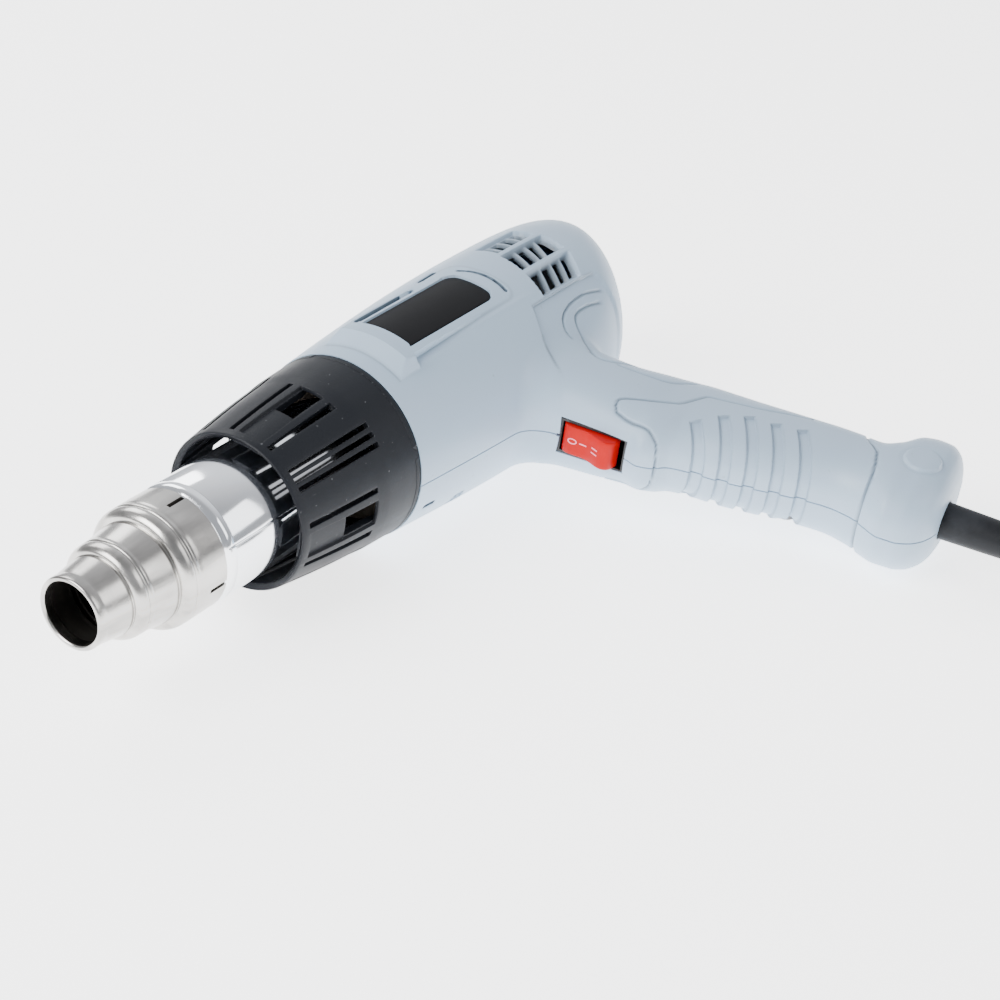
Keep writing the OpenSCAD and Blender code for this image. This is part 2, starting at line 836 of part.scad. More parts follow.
// Plastic end cap with brush holders and board posts
module motor_end_cap() {
    color("black") laid() difference() {
        union() {
            rod_x(cap_start, cap_start + cap_t, motor_r);
            for (side = [-1, 1]) {
                post_y = side * (commutator_r + brush_gap + brush_len + post_t / 2);
                translate([commutator_start, post_y - post_t / 2, -brush_w])
                    cube([cap_start - commutator_start + over, post_t, 2 * brush_w]);
                translate([cap_start + cap_t - over, side * board_post_at, 0]) rotate([0, 90, 0])
                    cylinder(r = board_post_r, h = board_start - cap_start - cap_t + over, $fn = 32);
            }
        }
        rod_x(cap_start - over, cap_start + cap_t + over, bush_r + press_gap);
    }
}

// Two carbon brushes on the commutator
module motor_brushes() {
    middle = commutator_r + brush_gap + brush_len / 2;
    color("darkslategray") laid() for (side = [-1, 1])
        translate([commutator_start + over, side * middle - brush_len / 2, -brush_w / 2])
            cube([commutator_end - commutator_start - 2 * over, brush_len, brush_w]);
}

// Ring with arms that carries the motor in the housing
module motor_mount() {
    arm_r = body_radius(can_start) - wall - press_gap;
    mount_r = motor_r + mount_wall;
    color("lightslategray") laid() {
        ring_x(can_start, can_start + mount_len, mount_r, motor_r + press_gap);
        intersection() {
            rod_x(can_start, can_start + mount_arm_len, arm_r);
            for (turn = [45:90:315])
                spoke(turn, can_start, mount_arm_len, mount_arm_w, mount_r - small_step, body_r);
        }
    }
}

// Round board with the rectifier at the motor's rear
module rectifier_board() {
    color("green") laid() {
        rod_x(board_start, board_start + board_t, board_r);
        for (side = [-1, 1])
            translate([board_start + board_t, side * rectifier_at - rectifier_w / 2, -rectifier_l / 2])
                cube([rectifier_t, rectifier_w, rectifier_l]);
    }
}

// Outer form of the housing, or the same set in by a thickness
function body_radius(x) =
    body_front_r + (body_r - body_front_r) * sin(90 * (x - body_start) / (body_full - body_start));

function dome_rings(inset) = [
    for (i = [0:dome_steps])
    let (
        u = sin(90 * i / dome_steps),
        x = i == 0 ? body_full - small_step : body_full + (body_end - inset - body_full) * u,
        full_r = body_r - inset - dome_step,
        r = max(small_step, full_r * pow(1 - pow(u, dome_roundness), 1 / dome_roundness))
    )
    [
        for (j = [0:dome_sides - 1])
        let (a = 360 * j / dome_sides)
        [x + rear_slope * r * cos(a) * u, r * cos(a), r * sin(a)]
    ]
];

module barrel_form(start, inset) {
    line = [
        for (i = [front_steps:-1:0])
        let (x = start + (body_full - start) * i / front_steps)
        [body_radius(x) - inset, x]
    ];
    turned() polygon(concat([[0, start], [0, body_full]], line));
    skin(dome_rings(inset));
}

module grip_form(inset, rows) {
    in_grip() skin([for (i = [0:rows - 1]) grip_ring(grip_shares[i], inset, grip_sides)]);
}

// A band round the barrel, cut to a rounded plate on the left side
module side_plate(start, stop, half, inner, outer, corner_r) {
    intersection() {
        ring_x(start, stop, outer, inner);
        linear_extrude(body_d) {
            translate([start, corner_r - half]) square([stop - start, 2 * (half - corner_r)]);
            translate([start, -half]) square([stop - start - corner_r, 2 * half]);
            for (side = [-1, 1])
                translate([stop - corner_r, side * (half - corner_r)]) circle(r = corner_r, $fn = 32);
        }
    }
}

// Raised lip and frame for the plate on one side
module side_raised() {
    intersection() {
        turned() polygon([
            [cut_in_r, lip_start - small_step], [body_radius(lip_start), lip_start - small_step],
            [body_radius(lip_start) + over, lip_start],
            [body_r, lip_top], [body_r, lip_end], [cut_in_r, lip_end]
        ]);
        translate([0, -lip_half, 0]) cube([body_end, 2 * lip_half, body_d]);
    }
    side_plate(lip_end - over, frame_end, frame_half, body_front_r, frame_r, frame_corner_r);
}

// Vents and slots of one side
module side_openings() {
    pitch = (vent_len + vent_fin_w) / (vent_fins + 1);
    for (turn = vent_turns, i = [0:vent_fins])
        spoke(turn, vent_start + i * pitch, pitch - vent_fin_w, vent_w, cut_in_r, cut_out_r);
    plate_len = plate_end - plate_start;
    for (i = [0:len(frame_slot_turns) - 1])
        spoke(frame_slot_turns[i], plate_start + frame_slot_shares[i][0] * plate_len,
            (frame_slot_shares[i][1] - frame_slot_shares[i][0]) * plate_len, frame_slot_w,
            cut_in_r, cut_out_r);
    intersection() {
        ring_x(rear_slot_x, rear_slot_x + frame_slot_w, cut_out_r, cut_in_r);
        hull() for (turn = rear_slot_turns)
            spoke(turn, rear_slot_x - over, frame_slot_w + 2 * over, frame_slot_w, guide_wall, cut_out_r);
    }
}

// Where each housing screw stands, and how deep its head's seat lies
screw_places = concat(
    [
        for (share = barrel_screw_shares)
        [body_start + share[0] * (body_end - body_start), share[1] * body_r, share[2] * body_r]
    ],
    [
        for (share = handle_screw_shares)
        let (p = grip_at(share[0] * grip_len, share[1] * grip_depth, 0))
        [p[0], p[1], share[2] * grip_width]
    ]
);

// Half of the hollow housing: side 1 is the left one, side -1 the right one
module housing_shell(side) {
    boss_low = side > 0 ? 0 : -body_r;
    boss_high = side > 0 ? body_r : 0;
    difference() {
        union() {
            barrel_form(body_start, 0);
            grip_form(0, len(grip_shares));
            mirror([0, 0, side > 0 ? 0 : 1]) side_raised();
        }
        difference() {
            union() {
                barrel_form(cavity_start, wall);
                grip_form(wall, butt_inner_rows);
            }
            for (place = screw_places)
                translate([place[0], place[1], boss_low])
                    cylinder(r = boss_r, h = boss_high - boss_low, $fn = 32);
        }
        rod_x(body_start - over, groove_start + over, front_bore_r);
        rod_x(groove_start, groove_end, groove_r);
        rod_x(groove_end - over, cavity_start + over, rib_bore_r);
        mirror([0, 0, side > 0 ? 0 : 1]) side_openings();
        if (side < 0)
            spoke(under_slot_turn, body_start + under_slot_back, under_slot_len, under_slot_w,
                groove_r + flange_lip, cut_out_r);
        in_grip() {
            translate([switch_mid - switch_l / 2, -grip_depth, -switch_w / 2])
                cube([switch_l, grip_depth - block_front + wide_step, switch_w]);
            rotate([0, 90, 0]) {
                translate([0, 0, tip_s / 2]) cylinder(r = cord_r + seat_gap, h = tip_s, $fn = 48);
                translate([0, 0, collar_start - seat_gap])
                    cylinder(r = collar_r + seat_gap, h = collar_len + 2 * seat_gap, $fn = 48);
                translate([0, 0, collar_start]) cylinder(r = relief_r + seat_gap, h = tip_s, $fn = 48);
            }
        }
        finger_channels();
        for (place = screw_places) {
            translate([place[0], place[1], -over])
                cylinder(r = pilot_r, h = screw_reach + 2 * over, $fn = 32);
            translate([place[0], place[1], -place[2] - over])
                cylinder(r = screw_hole_r, h = place[2] + over, $fn = 32);
            translate([place[0], place[1], -body_d])
                cylinder(r = head_bore_r, h = body_d - place[2], $fn = 32);
        }
        translate([body_start - over, -2 * grip_len, side > 0 ? -body_d : 0])
            cube([2 * grip_len, 3 * grip_len, body_d]);
    }
}

// Slanting channels round the front of the grip
module finger_channels() {
    front = channel_front_share * grip_depth;
    difference() {
        in_grip() for (i = [0:channel_count - 1]) {
            reach = (front + channel_back_shares[min(i, len(channel_back_shares) - 1)] * grip_depth)
                / cos(channel_tilt);
            translate([channel_first_share * grip_len + i * channel_pitch, -front, -grip_width])
                rotate([0, 0, channel_tilt]) translate([-channel_w / 2, -grip_depth / 2, 0])
                    cube([channel_w, grip_depth / 2 + reach, 2 * grip_width]);
        }
        grip_form(channel_depth, len(grip_shares));
    }
}

// Left half, with the plate's recess
module housing_left() {
    color("lightsteelblue") laid() difference() {
        housing_shell(1);
        side_plate(plate_start - seat_gap, plate_end + seat_gap, plate_half + seat_gap, plate_floor_r,
            cut_out_r, plate_corner_r + seat_gap);
    }
}

// Right half, with screw heads sunk in and the cord's cradle
module housing_right() {
    color("lightsteelblue") laid() {
        housing_shell(-1);
        in_grip() {
            difference() {
                union() {
                    for (side = [-1, 1])
                        translate([clamp_s + clamp_len / 2, side * clamp_screw_at, -cradle_depth])
                            cylinder(r = clamp_post_r, h = cradle_depth + cord_r, $fn = 32);
                    translate([clamp_s, -cradle_half, -cradle_depth])
                        cube([clamp_len, 2 * cradle_half, cradle_depth - cord_r]);
                }
                for (side = [-1, 1])
                    translate([clamp_s + clamp_len / 2, side * clamp_screw_at, -screw_reach])
                        cylinder(r = pilot_r, h = screw_reach + cord_r + over, $fn = 32);
            }
        }
    }
}

// Plain dark plate in the left side's frame
module badge_plate() {
    color("black") laid()
        side_plate(plate_start, plate_end, plate_half, plate_floor_r + press_gap, plate_r, plate_corner_r);
}

// Self-tapping screw with a round head, driven from the right side
module screw_up(reach, depth) {
    translate([0, 0, -depth]) cylinder(r = screw_r, h = depth + reach, $fn = 32);
    difference() {
        translate([0, 0, -depth - head_t]) cylinder(r = head_r, h = head_t, $fn = 32);
        for (turn = [0, 90]) rotate([0, 0, turn])
            translate([-head_t, -segment_w, -depth - head_t - over])
                cube([2 * head_t, 2 * segment_w, head_t / 2 + over]);
    }
}

module housing_screws() {
    color("dimgray") laid() for (place = screw_places)
        translate([place[0], place[1], 0]) screw_up(screw_reach, place[2]);
}

// Body of the mains switch behind its opening
module switch_body() {
    color("black") laid() in_grip() difference() {
        union() {
            translate([switch_mid - block_half_l, -block_front, -block_half_w])
                cube([2 * block_half_l, block_front - block_back, 2 * block_half_w]);
            translate([switch_mid - switch_l / 2 + seat_gap, -rim_d, seat_gap - switch_w / 2])
                cube([switch_l - 2 * seat_gap, rim_d - block_back, switch_w - 2 * seat_gap]);
        }
        translate([switch_mid - pocket_half_l, -rim_d - over, -pocket_half_w])
            cube([2 * pocket_half_l, rim_d - pocket_floor + over, 2 * pocket_half_w]);
        translate([switch_mid, -pivot_d, -pivot_reach - seat_gap])
            cylinder(r = pivot_r + run_gap, h = 2 * (pivot_reach + seat_gap), $fn = 32);
    }
}

// Rocker with three places, at rest in its 0 place
module switch_rocker() {
    color("red") laid() in_grip() translate([switch_mid, -pivot_d, 0]) rotate([0, 0, -rocker_swing / 2])
        mirror([0, 1, 0]) {
            translate([0, 0, -rocker_half_w]) linear_extrude(2 * rocker_half_w)
                polygon([for (share = rocker_shares) [share[0] * rocker_half_l, share[1] * rocker_high]]);
            translate([0, 0, -pivot_reach]) cylinder(r = pivot_r, h = 2 * pivot_reach, $fn = 32);
        }
}

// Flat blades at the switch's back
module switch_terminals() {
    color("gold") laid() in_grip() for (end = [-1, 1], side = [-1, 1])
        translate([switch_mid + end * blade_apart, -block_back, side * blade_side])
            translate([-blade_w / 2, 0, -blade_thick / 2]) cube([blade_w, blade_l, blade_thick]);
}

// Insulated wires from the switch to the board and to the lead
module inner_leads() {
    blade_tip = blade_l - block_back + part_gap;
    board_x = board_start + board_t / 2;
    color("firebrick") laid() for (side = [-1, 1]) {
        z = side * blade_side;
        up_s = switch_mid - blade_apart;
        down_s = switch_mid + blade_apart;
        up = concat(
            [grip_at(up_s, blade_tip, z), grip_at(up_s, blade_tip + lead_straight, z)],
            [for (share = lead_up_shares) grip_at(share[0] * grip_len, share[1] * grip_depth, z)],
            [
                for (share = lead_back_shares)
                [board_x - share[0] * (body_end - body_start), -share[1] * body_r, z]
            ],
            [[board_x, -part_gap - seat_gap - sqrt(board_r * board_r - z * z), z]]
        );
        down = concat(
            [grip_at(down_s, blade_tip, z), grip_at(down_s, blade_tip + lead_straight, z)],
            [
                for (share = lead_down_shares)
                grip_at(share[0] * grip_len, share[1] * grip_depth, share[2] * z)
            ],
            [grip_at(inner_cord_start - part_gap, 0, z / 2)]
        );
        skin(swept(curved(up, 3), lead_r, 6, [0, 0, 1]));
        skin(swept(curved(down, 3), lead_r, 6, [0, 0, 1]));
    }
}

// Suppressor block at the switch's lower end
module suppressor_capacitor() {
    color("yellow") laid() in_grip()
        translate([switch_mid + block_half_l, capacitor_drop - block_front, -capacitor_half_w])
            cube([capacitor_l, capacitor_t, 2 * capacitor_half_w]);
}

// Bar that presses the lead into its cradle
module cord_clamp() {
    color("white") laid() in_grip() difference() {
        translate([clamp_s, -clamp_half, cord_r]) cube([clamp_len, 2 * clamp_half, clamp_t]);
        for (side = [-1, 1])
            translate([clamp_s + clamp_len / 2, side * clamp_screw_at, 0])
                cylinder(r = screw_hole_r, h = body_r, $fn = 32);
    }
}

module clamp_screws() {
    color("silver") laid() in_grip() for (side = [-1, 1])
        translate([clamp_s + clamp_len / 2, side * clamp_screw_at, 0]) mirror([0, 0, 1])
            screw_up(screw_reach - small_step, cord_r + clamp_t);
}

// Lead inside the handle and through the bend protector
module cord_inside() {
    color("black") laid() in_grip() translate([inner_cord_start, 0, 0]) rotate([0, 90, 0])
        cylinder(r = cord_r, h = tip_s - inner_cord_start, $fn = 32);
}

// Tapered bend protector held in the butt by its collar
module strain_relief() {
    color("black") laid() in_grip() rotate([0, 90, 0]) rotate_extrude($fn = 48) polygon([
        [cord_r + cord_gap, collar_start], [collar_r, collar_start], [collar_r, collar_start + collar_len],
        [relief_r, collar_start + collar_len], [relief_r, grip_len - relief_neck],
        [relief_tip_r, tip_s], [cord_r + cord_gap, tip_s]
    ]);
}

// Free lead from the bend protector down to the floor
exit_point = laid_at(grip_at(tip_s, 0, 0));
exit_way = laid_at(grip_at(1, 0, 0)) - laid_at(grip_at(0, 0, 0));
coil_x = coil_mid[0] + coil_r;
stretch_route = [
    exit_point, exit_point + 7 * exit_way, exit_point + 14 * exit_way,
    [217.5, -222, -25], [221.5, -240, -27.8], [223.6, -254, cord_z], [coil_x, -268, cord_z]
];

module mains_cord() {
    color("black") skin(swept(curved(stretch_route, 4), cord_r, cord_sides, [0, 0, 1]));
}

// The rest of the lead, wound in two layers on the floor
function coil_radius(t) =
    t < low_turns + climb_turns ? coil_r - coil_pitch * t
    : t < low_turns + climb_turns + spread_turns
        ? coil_r + coil_pitch * ((t - low_turns - climb_turns) / spread_turns - low_turns - climb_turns)
    : coil_r + coil_pitch * (t - spread_turns + 1 - 2 * (low_turns + climb_turns));
function coil_height(t) =
    let (k = min(1, max(0, (t - low_turns) / climb_turns)))
    cord_z + coil_lift * (1 - cos(180 * k)) / 2;
function coil_point(t) = [
    coil_mid[0] + coil_radius(t) * cos(-360 * t),
    coil_mid[1] + coil_radius(t) * sin(-360 * t),
    coil_height(t)
];
coil_turn_count = low_turns + climb_turns + spread_turns + top_turns;
coil_last = coil_point(coil_turn_count);
coil_line = concat(
    [[coil_x, coil_mid[1] + cord_d, cord_z]],
    [for (i = [0:coil_turn_count * coil_steps]) coil_point(i / coil_steps)],
    [coil_last - [cord_d, 0, 0]]
);
coil_gaps = [
    for (i = [0:len(coil_line) - 1], j = [i + coil_steps / 2:len(coil_line) - 1])
    norm(coil_line[i] - coil_line[j]) - cord_d
];
echo(least_gap_of_coil_to_itself = min(coil_gaps));

module cord_coil() {
    color("black") skin(swept(coil_line, cord_r, coil_sides, [0, 0, 1]));
}

// Short end of the lead that reaches the plug beside the coil
tail_from = coil_last - [cord_d, 0, 0];
tail_route = [
    tail_from, tail_from + [-10, -0.1, 0],
    ([plug_tail, plug_y, plug_z] + tail_from) / 2,
    [plug_tail, plug_y, plug_z]
];

module cord_tail() {
    color("black") skin(swept(curved(tail_route, 3), cord_r, cord_sides, [0, 0, 1]));
}

// Two-pin mains plug lying beside the coil
module plug_body() {
    color("black") translate([0, plug_y, plug_z]) intersection() {
        turned() polygon([
            [0, plug_face], [plug_r - small_step, plug_face], [plug_r, plug_face + small_step],
            [plug_r, plug_shoulder],
            [plug_neck_r, plug_neck], [plug_tail_r, plug_tail], [0, plug_tail]
        ]);
        translate([plug_face - over, -plug_r, -plug_half]) cube([plug_tail, 2 * plug_r, 2 * plug_half]);
    }
}

module plug_pins() {
    color("silver") translate([plug_face, plug_y, plug_z]) for (side = [-1, 1])
        translate([0, side * pin_half_gap, 0]) rotate([0, -90, 0]) {
            cylinder(r = pin_r, h = pin_len - pin_tip, $fn = 32);
            translate([0, 0, pin_len - pin_tip])
                cylinder(r1 = pin_r, r2 = pin_r - pin_tip, h = pin_tip, $fn = 32);
        }
}

reducer_nozzle();
air_tube();
heat_guard();
tube_ring();
heater_former();
heater_coil();
heater_sleeve();
heater_disc();
thermal_cutout();
air_guide();
fan_impeller();
motor_shaft();
armature();
commutator();
motor_can();
motor_magnets();
motor_bushes();
motor_end_cap();
motor_brushes();
motor_mount();
rectifier_board();
housing_left();
housing_right();
badge_plate();
housing_screws();
switch_body();
switch_rocker();
switch_terminals();
inner_leads();
suppressor_capacitor();
cord_clamp();
clamp_screws();
cord_inside();
strain_relief();
mains_cord();
cord_coil();
cord_tail();
plug_body();
plug_pins();
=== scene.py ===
import bpy
import numpy as np
from mathutils import Matrix


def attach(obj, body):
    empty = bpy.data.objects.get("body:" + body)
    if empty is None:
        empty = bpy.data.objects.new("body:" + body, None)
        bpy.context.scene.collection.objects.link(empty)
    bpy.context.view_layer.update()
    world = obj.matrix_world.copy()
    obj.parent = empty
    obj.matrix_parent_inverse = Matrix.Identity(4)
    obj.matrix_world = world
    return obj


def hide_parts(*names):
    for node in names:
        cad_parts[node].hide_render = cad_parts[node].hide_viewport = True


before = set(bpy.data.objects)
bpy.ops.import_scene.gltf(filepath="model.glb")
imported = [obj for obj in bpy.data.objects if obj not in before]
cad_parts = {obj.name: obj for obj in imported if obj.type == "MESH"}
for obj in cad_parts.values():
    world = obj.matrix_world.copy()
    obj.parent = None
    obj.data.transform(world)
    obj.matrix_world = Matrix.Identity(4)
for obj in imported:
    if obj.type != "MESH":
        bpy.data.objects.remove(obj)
bpy.context.view_layer.update()

# Camera and soft light.
# The tool lies on its side, so every place is worked out with the barrel and handle level
# and then rolled by the lie angle that lets body, lips and butt touch the floor.
lie = np.radians(6.257175)
floor_height = -32.0


def laid(points):
    """Millimetres beside the level barrel to metres as the tool lies: a roll about X."""
    p = np.asarray(points, float)
    y = p[..., 1] * np.cos(lie) - p[..., 2] * np.sin(lie)
    z = p[..., 1] * np.sin(lie) + p[..., 2] * np.cos(lie)
    return np.stack([p[..., 0], y, z], -1) / 1000


eye = laid([-343.6, -310.6, 346.2])
# The view's right, up and back beside the level barrel, made exactly square by a QR split
right_up_back = [[0.560, -0.819, 0.128], [0.393, 0.398, 0.829], [-0.730, -0.414, 0.545]]
square_axes, stretches = np.linalg.qr(laid(right_up_back).T)
sight = square_axes.T * np.sign(np.diag(stretches))[:, None]
lens_data = bpy.data.cameras.new("camera")
lens_data.lens = 82.8
lens_data.sensor_width = 36
lens_data.clip_start = 0.05
camera = bpy.data.objects.new("camera", lens_data)
view = np.eye(4)
view[:3] = np.column_stack([*sight, eye])
camera.matrix_world = Matrix(view.tolist())
bpy.context.scene.collection.objects.link(camera)
bpy.context.scene.camera = camera

# Each lamp's place and side in metres, and its power in watts
lamps = {
    "key": ((-0.85, 0.3, 0.8), 0.8, 24.0),
    "back": ((0.35, 0.8, 0.75), 0.6, 6.0),
    "side": ((0.45, -1.0, 0.6), 0.7, 4.5),
}
lit_place = np.array([0.12, -0.05, 0.0])
for name, (place, side, watts) in lamps.items():
    lamp = bpy.data.lights.new(name, "AREA")
    lamp.size = side
    lamp.energy = watts
    lamp_object = bpy.data.objects.new(name, lamp)
    lamp_object.location = place
    aim = lit_place - np.array(place)
    lamp_object.rotation_euler = (
        float(np.arctan2(np.hypot(aim[0], aim[1]), -aim[2])),
        0.0,
        float(np.arctan2(aim[1], aim[0]) - np.pi / 2),
    )
    bpy.context.scene.collection.objects.link(lamp_object)

# The room brightens towards one upper side, as by a window, so that the metal has it to mirror
room = bpy.data.worlds.new("room")
room.use_nodes = True
room_nodes, room_links = room.node_tree.nodes, room.node_tree.links
room_nodes["Background"].inputs["Strength"].default_value = 0.5
direction = room_nodes.new("ShaderNodeTexCoord")
towards_window = room_nodes.new("ShaderNodeVectorMath")
towards_window.operation = "DOT_PRODUCT"
towards_window.inputs[1].default_value = (0.72, 0.38, 0.58)
brightness = room_nodes.new("ShaderNodeValToRGB")
room_links.new(direction.outputs["Generated"], towards_window.inputs[0])
room_links.new(towards_window.outputs["Value"], brightness.inputs["Fac"])
room_links.new(brightness.outputs["Color"], room_nodes["Background"].inputs["Color"])
wall_end, window_end = brightness.color_ramp.elements
window_end.position = 0.97
wall_end.color, window_end.color = (0.93, 0.95, 1.0, 1), (2.4, 2.46, 2.56, 1)
for share, grey in ((0.42, 1.0), (0.62, 1.35), (0.8, 1.8)):
    brightness.color_ramp.elements.new(share).color = (grey * 0.98, grey * 0.99, grey * 1.03, 1)
bpy.context.scene.world = room


class Wire:
    """A socket of a material that counts like a number: each operator adds a Math node."""

    def __init__(self, finish, socket):
        self.finish, self.socket = finish, socket

    def math(self, operation, *values):
        return self.finish.node("Math", {"operation": operation}, values)

    def __add__(self, other):
        return self.math("ADD", self, other)

    def __sub__(self, other):
        return self.math("SUBTRACT", self, other)

    def __rsub__(self, other):
        return self.math("SUBTRACT", other, self)

    def __mul__(self, other):
        return self.math("MULTIPLY", self, other)

    __radd__, __rmul__ = __add__, __mul__

    def step(self, low, high):
        """0 below low, 1 above high and a smooth rise between."""
        return self.finish.node("MapRange", {"interpolation_type": "SMOOTHSTEP"}, (self, low, high))


class Finish:
    """One material: node() adds a node, and set() gives a value or a link to the shader."""

    def __init__(self, name, **values):
        self.material = bpy.data.materials.new(name)
        self.material.use_nodes = True
        self.tree = self.material.node_tree
        self.shader = self.tree.nodes["Principled BSDF"]
        self.set(**values)

    def node(self, kind, settings=None, inputs=(), out=0):
        made = self.tree.nodes.new("ShaderNode" + kind)
        for key, value in (settings or {}).items():
            setattr(made, key, value)
        for key, value in inputs.items() if isinstance(inputs, dict) else enumerate(inputs):
            self.feed(made.inputs[key], value)
        return Wire(self, made.outputs[out])

    def feed(self, socket, value):
        if isinstance(value, Wire):
            self.tree.links.new(value.socket, socket)
        elif isinstance(value, tuple) and len(value) == 3 and socket.type == "RGBA":
            socket.default_value = (*value, 1)
        else:
            socket.default_value = value

    def set(self, **values):
        for key, value in values.items():
            self.feed(self.shader.inputs[key.replace("_", " ")], value)

    def noise(self, scale, detail=3.0, stretch=None):
        """Soft noise from 0 to 1 over Object coordinates, in grains per metre."""
        where = self.node("TexCoord", out=3)
        if stretch:
            where = self.node("Mapping", inputs={"Vector": where, "Scale": stretch})
        return self.node("TexNoise", inputs={"Vector": where, "Scale": scale, "Detail": detail})

    def along(self, axis):
        """The place of a point along the record frame's X, Y or Z, in metres."""
        where = self.node("TexCoord", out=3)
        return self.node("SeparateXYZ", inputs=[where], out="XYZ".index(axis))

    def between(self, share, first, second):
        """A colour share of the way from first to second."""
        return self.node("Mix", {"data_type": "RGBA"}, {0: share, 6: first, 7: second}, 2)

    def bump(self, height, depth):
        """A surface normal from a height of 0 to 1, depth metres deep."""
        return self.node("Bump", inputs={"Strength": 1.0, "Distance": depth, "Height": height})

    def scuffs(self, scale, share, stretch):
        """Sparse long streaks: the crests of a stretched noise."""
        return self.noise(scale, 2.0, stretch).step(1 - share, 1 - share + 0.06)


# The floor gives off a little light of its own, so that it stays pale all round the tool
floor_half, floor_gap = 3.0, 0.0001
floor_finish = Finish(
    "pale_floor", Base_Color=(0.93, 0.93, 0.93), Roughness=0.95, Emission_Color=(1.0, 1.0, 1.0),
    Emission_Strength=2.6,
)
floor_mesh = bpy.data.meshes.new("floor")
floor_corners = np.array([[-1, -1, 0], [1, -1, 0], [1, 1, 0], [-1, 1, 0]]) * floor_half
floor_corners[:, 2] = floor_height / 1000 - floor_gap
floor_mesh.from_pydata(floor_corners.tolist(), [], [(0, 1, 2, 3)])
floor_mesh.materials.append(floor_finish.material)
floor = bpy.data.objects.new("floor", floor_mesh)
bpy.context.scene.collection.objects.link(floor)

# Mains lead.
# A round two-core lead, 7 mm thick in black rubber. It leaves the bend protector, sinks to the
# floor past the edge of the view, and the rest is wound in two layers beside the handle.
lead_radius = 3.5
handle_rake = np.radians(9.5)
handle_root = 180.0


def in_handle(s, d, z):
    """s along the handle from the barrel's axis, d towards its back, z to the left side."""
    s, d, z = np.broadcast_arrays(*(np.asarray(v, float) for v in (s, d, z)))
    x = handle_root + s * np.sin(handle_rake) + d * np.cos(handle_rake)
    y = d * np.sin(handle_rake) - s * np.cos(handle_rake)
    return np.stack([x, y, z], -1)


def flowing_line(points, steps):
    """A smooth line through given points, the part's own lead's: between two of them it is the cubic whose
    slope at each is half the way between that point's two neighbours."""
    p = np.asarray(points, float)
    p = np.vstack([p[:1], p, p[-1:]])
    t = (np.arange(steps) / steps)[None, :, None]
    a, b, c, d = (p[i : len(p) - 3 + i, None] for i in range(4))
    bends = b + 0.5 * t * (c - a + t * (2 * a - 5 * b + 4 * c - d + t * (3 * b - a - 3 * c + d)))
    return np.vstack([bends.reshape(-1, 3), p[-1:]])


def unit(vectors):
    """Each vector divided by its length."""
    return vectors / np.maximum(np.linalg.norm(vectors, axis=-1, keepdims=True), 1e-9)


def tube_along(line, radius, sides):
    """Rings of points square to a line: cosine times a level axis plus sine times an axis across it."""
    way = unit(np.gradient(line, axis=0))
    level = unit(np.cross(way, [0.0, 0.0, 1.0]))
    across = np.cross(level, way)
    turn = np.linspace(0, 2 * np.pi, sides + 1)[None, :, None]
    return line[:, None] + radius * (np.cos(turn) * level[:, None] + np.sin(turn) * across[:, None])


def make_piece(
    name, sheets, finishes, wall=0.0, even=True, rim=False, lining=False, edge=0.0, crease=35.0,
    painted_shades=None, body="tool",
):
    """A mesh from sheets, each a grid of points in metres and a mask of the faces that stay, or True for all:
    welded, faced outwards, then given its wall thickness inwards and its rounded edges, and shaded smooth up
    to the crease angle. The painted shades, one a point, are its own attribute."""
    mesh = bpy.data.meshes.new(name)
    points = np.vstack([grid.reshape(-1, 3) for grid, _ in sheets])
    quads, count = [], 0
    for grid, kept in sheets:
        index = count + np.arange(grid.size // 3).reshape(grid.shape[:2])
        faces = np.stack([index[:-1, :-1], index[1:, :-1], index[1:, 1:], index[:-1, 1:]], -1)
        quads.append(faces[kept].reshape(-1, 4))
        count += index.size
    quads = np.vstack(quads)
    corners = points[quads]
    face_way = np.cross(corners[:, 2] - corners[:, 0], corners[:, 3] - corners[:, 1])
    if (face_way * (corners.mean(1) - points.mean(0))).sum() < 0:
        quads = quads[:, ::-1]
    mesh.vertices.add(len(points))
    mesh.vertices.foreach_set("co", points.ravel())
    mesh.loops.add(quads.size)
    mesh.loops.foreach_set("vertex_index", quads.ravel())
    mesh.polygons.add(len(quads))
    mesh.polygons.foreach_set("loop_start", np.arange(0, quads.size, 4))
    mesh.update(calc_edges=True)
    if painted_shades is not None:
        mesh.attributes.new("painted_shade", "FLOAT", "POINT").data.foreach_set("value", painted_shades)
    for finish in finishes:
        mesh.materials.append(finish.material)
    piece = bpy.data.objects.new(name, mesh)
    bpy.context.scene.collection.objects.link(piece)
    piece.modifiers.new("weld", "WELD").merge_threshold = 2e-6
    if wall:
        solid = piece.modifiers.new("wall", "SOLIDIFY")
        solid.thickness = wall
        solid.offset = -1
        solid.use_even_offset = even
        solid.use_rim_only = rim
        solid.material_offset = int(lining)
    if edge:
        bevel = piece.modifiers.new("edge", "BEVEL")
        bevel.width = edge
        bevel.segments = 2
        bevel.limit_method = "ANGLE"
        bevel.angle_limit = np.radians(50)
        bevel.material = len(finishes) - 1
    made = bpy.data.meshes.new_from_object(piece.evaluated_get(bpy.context.evaluated_depsgraph_get()))
    piece.modifiers.clear()
    piece.data = made
    made.name = name
    made.shade_smooth()
    made.set_sharp_from_angle(angle=np.radians(crease))
    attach(piece, body)
    return piece


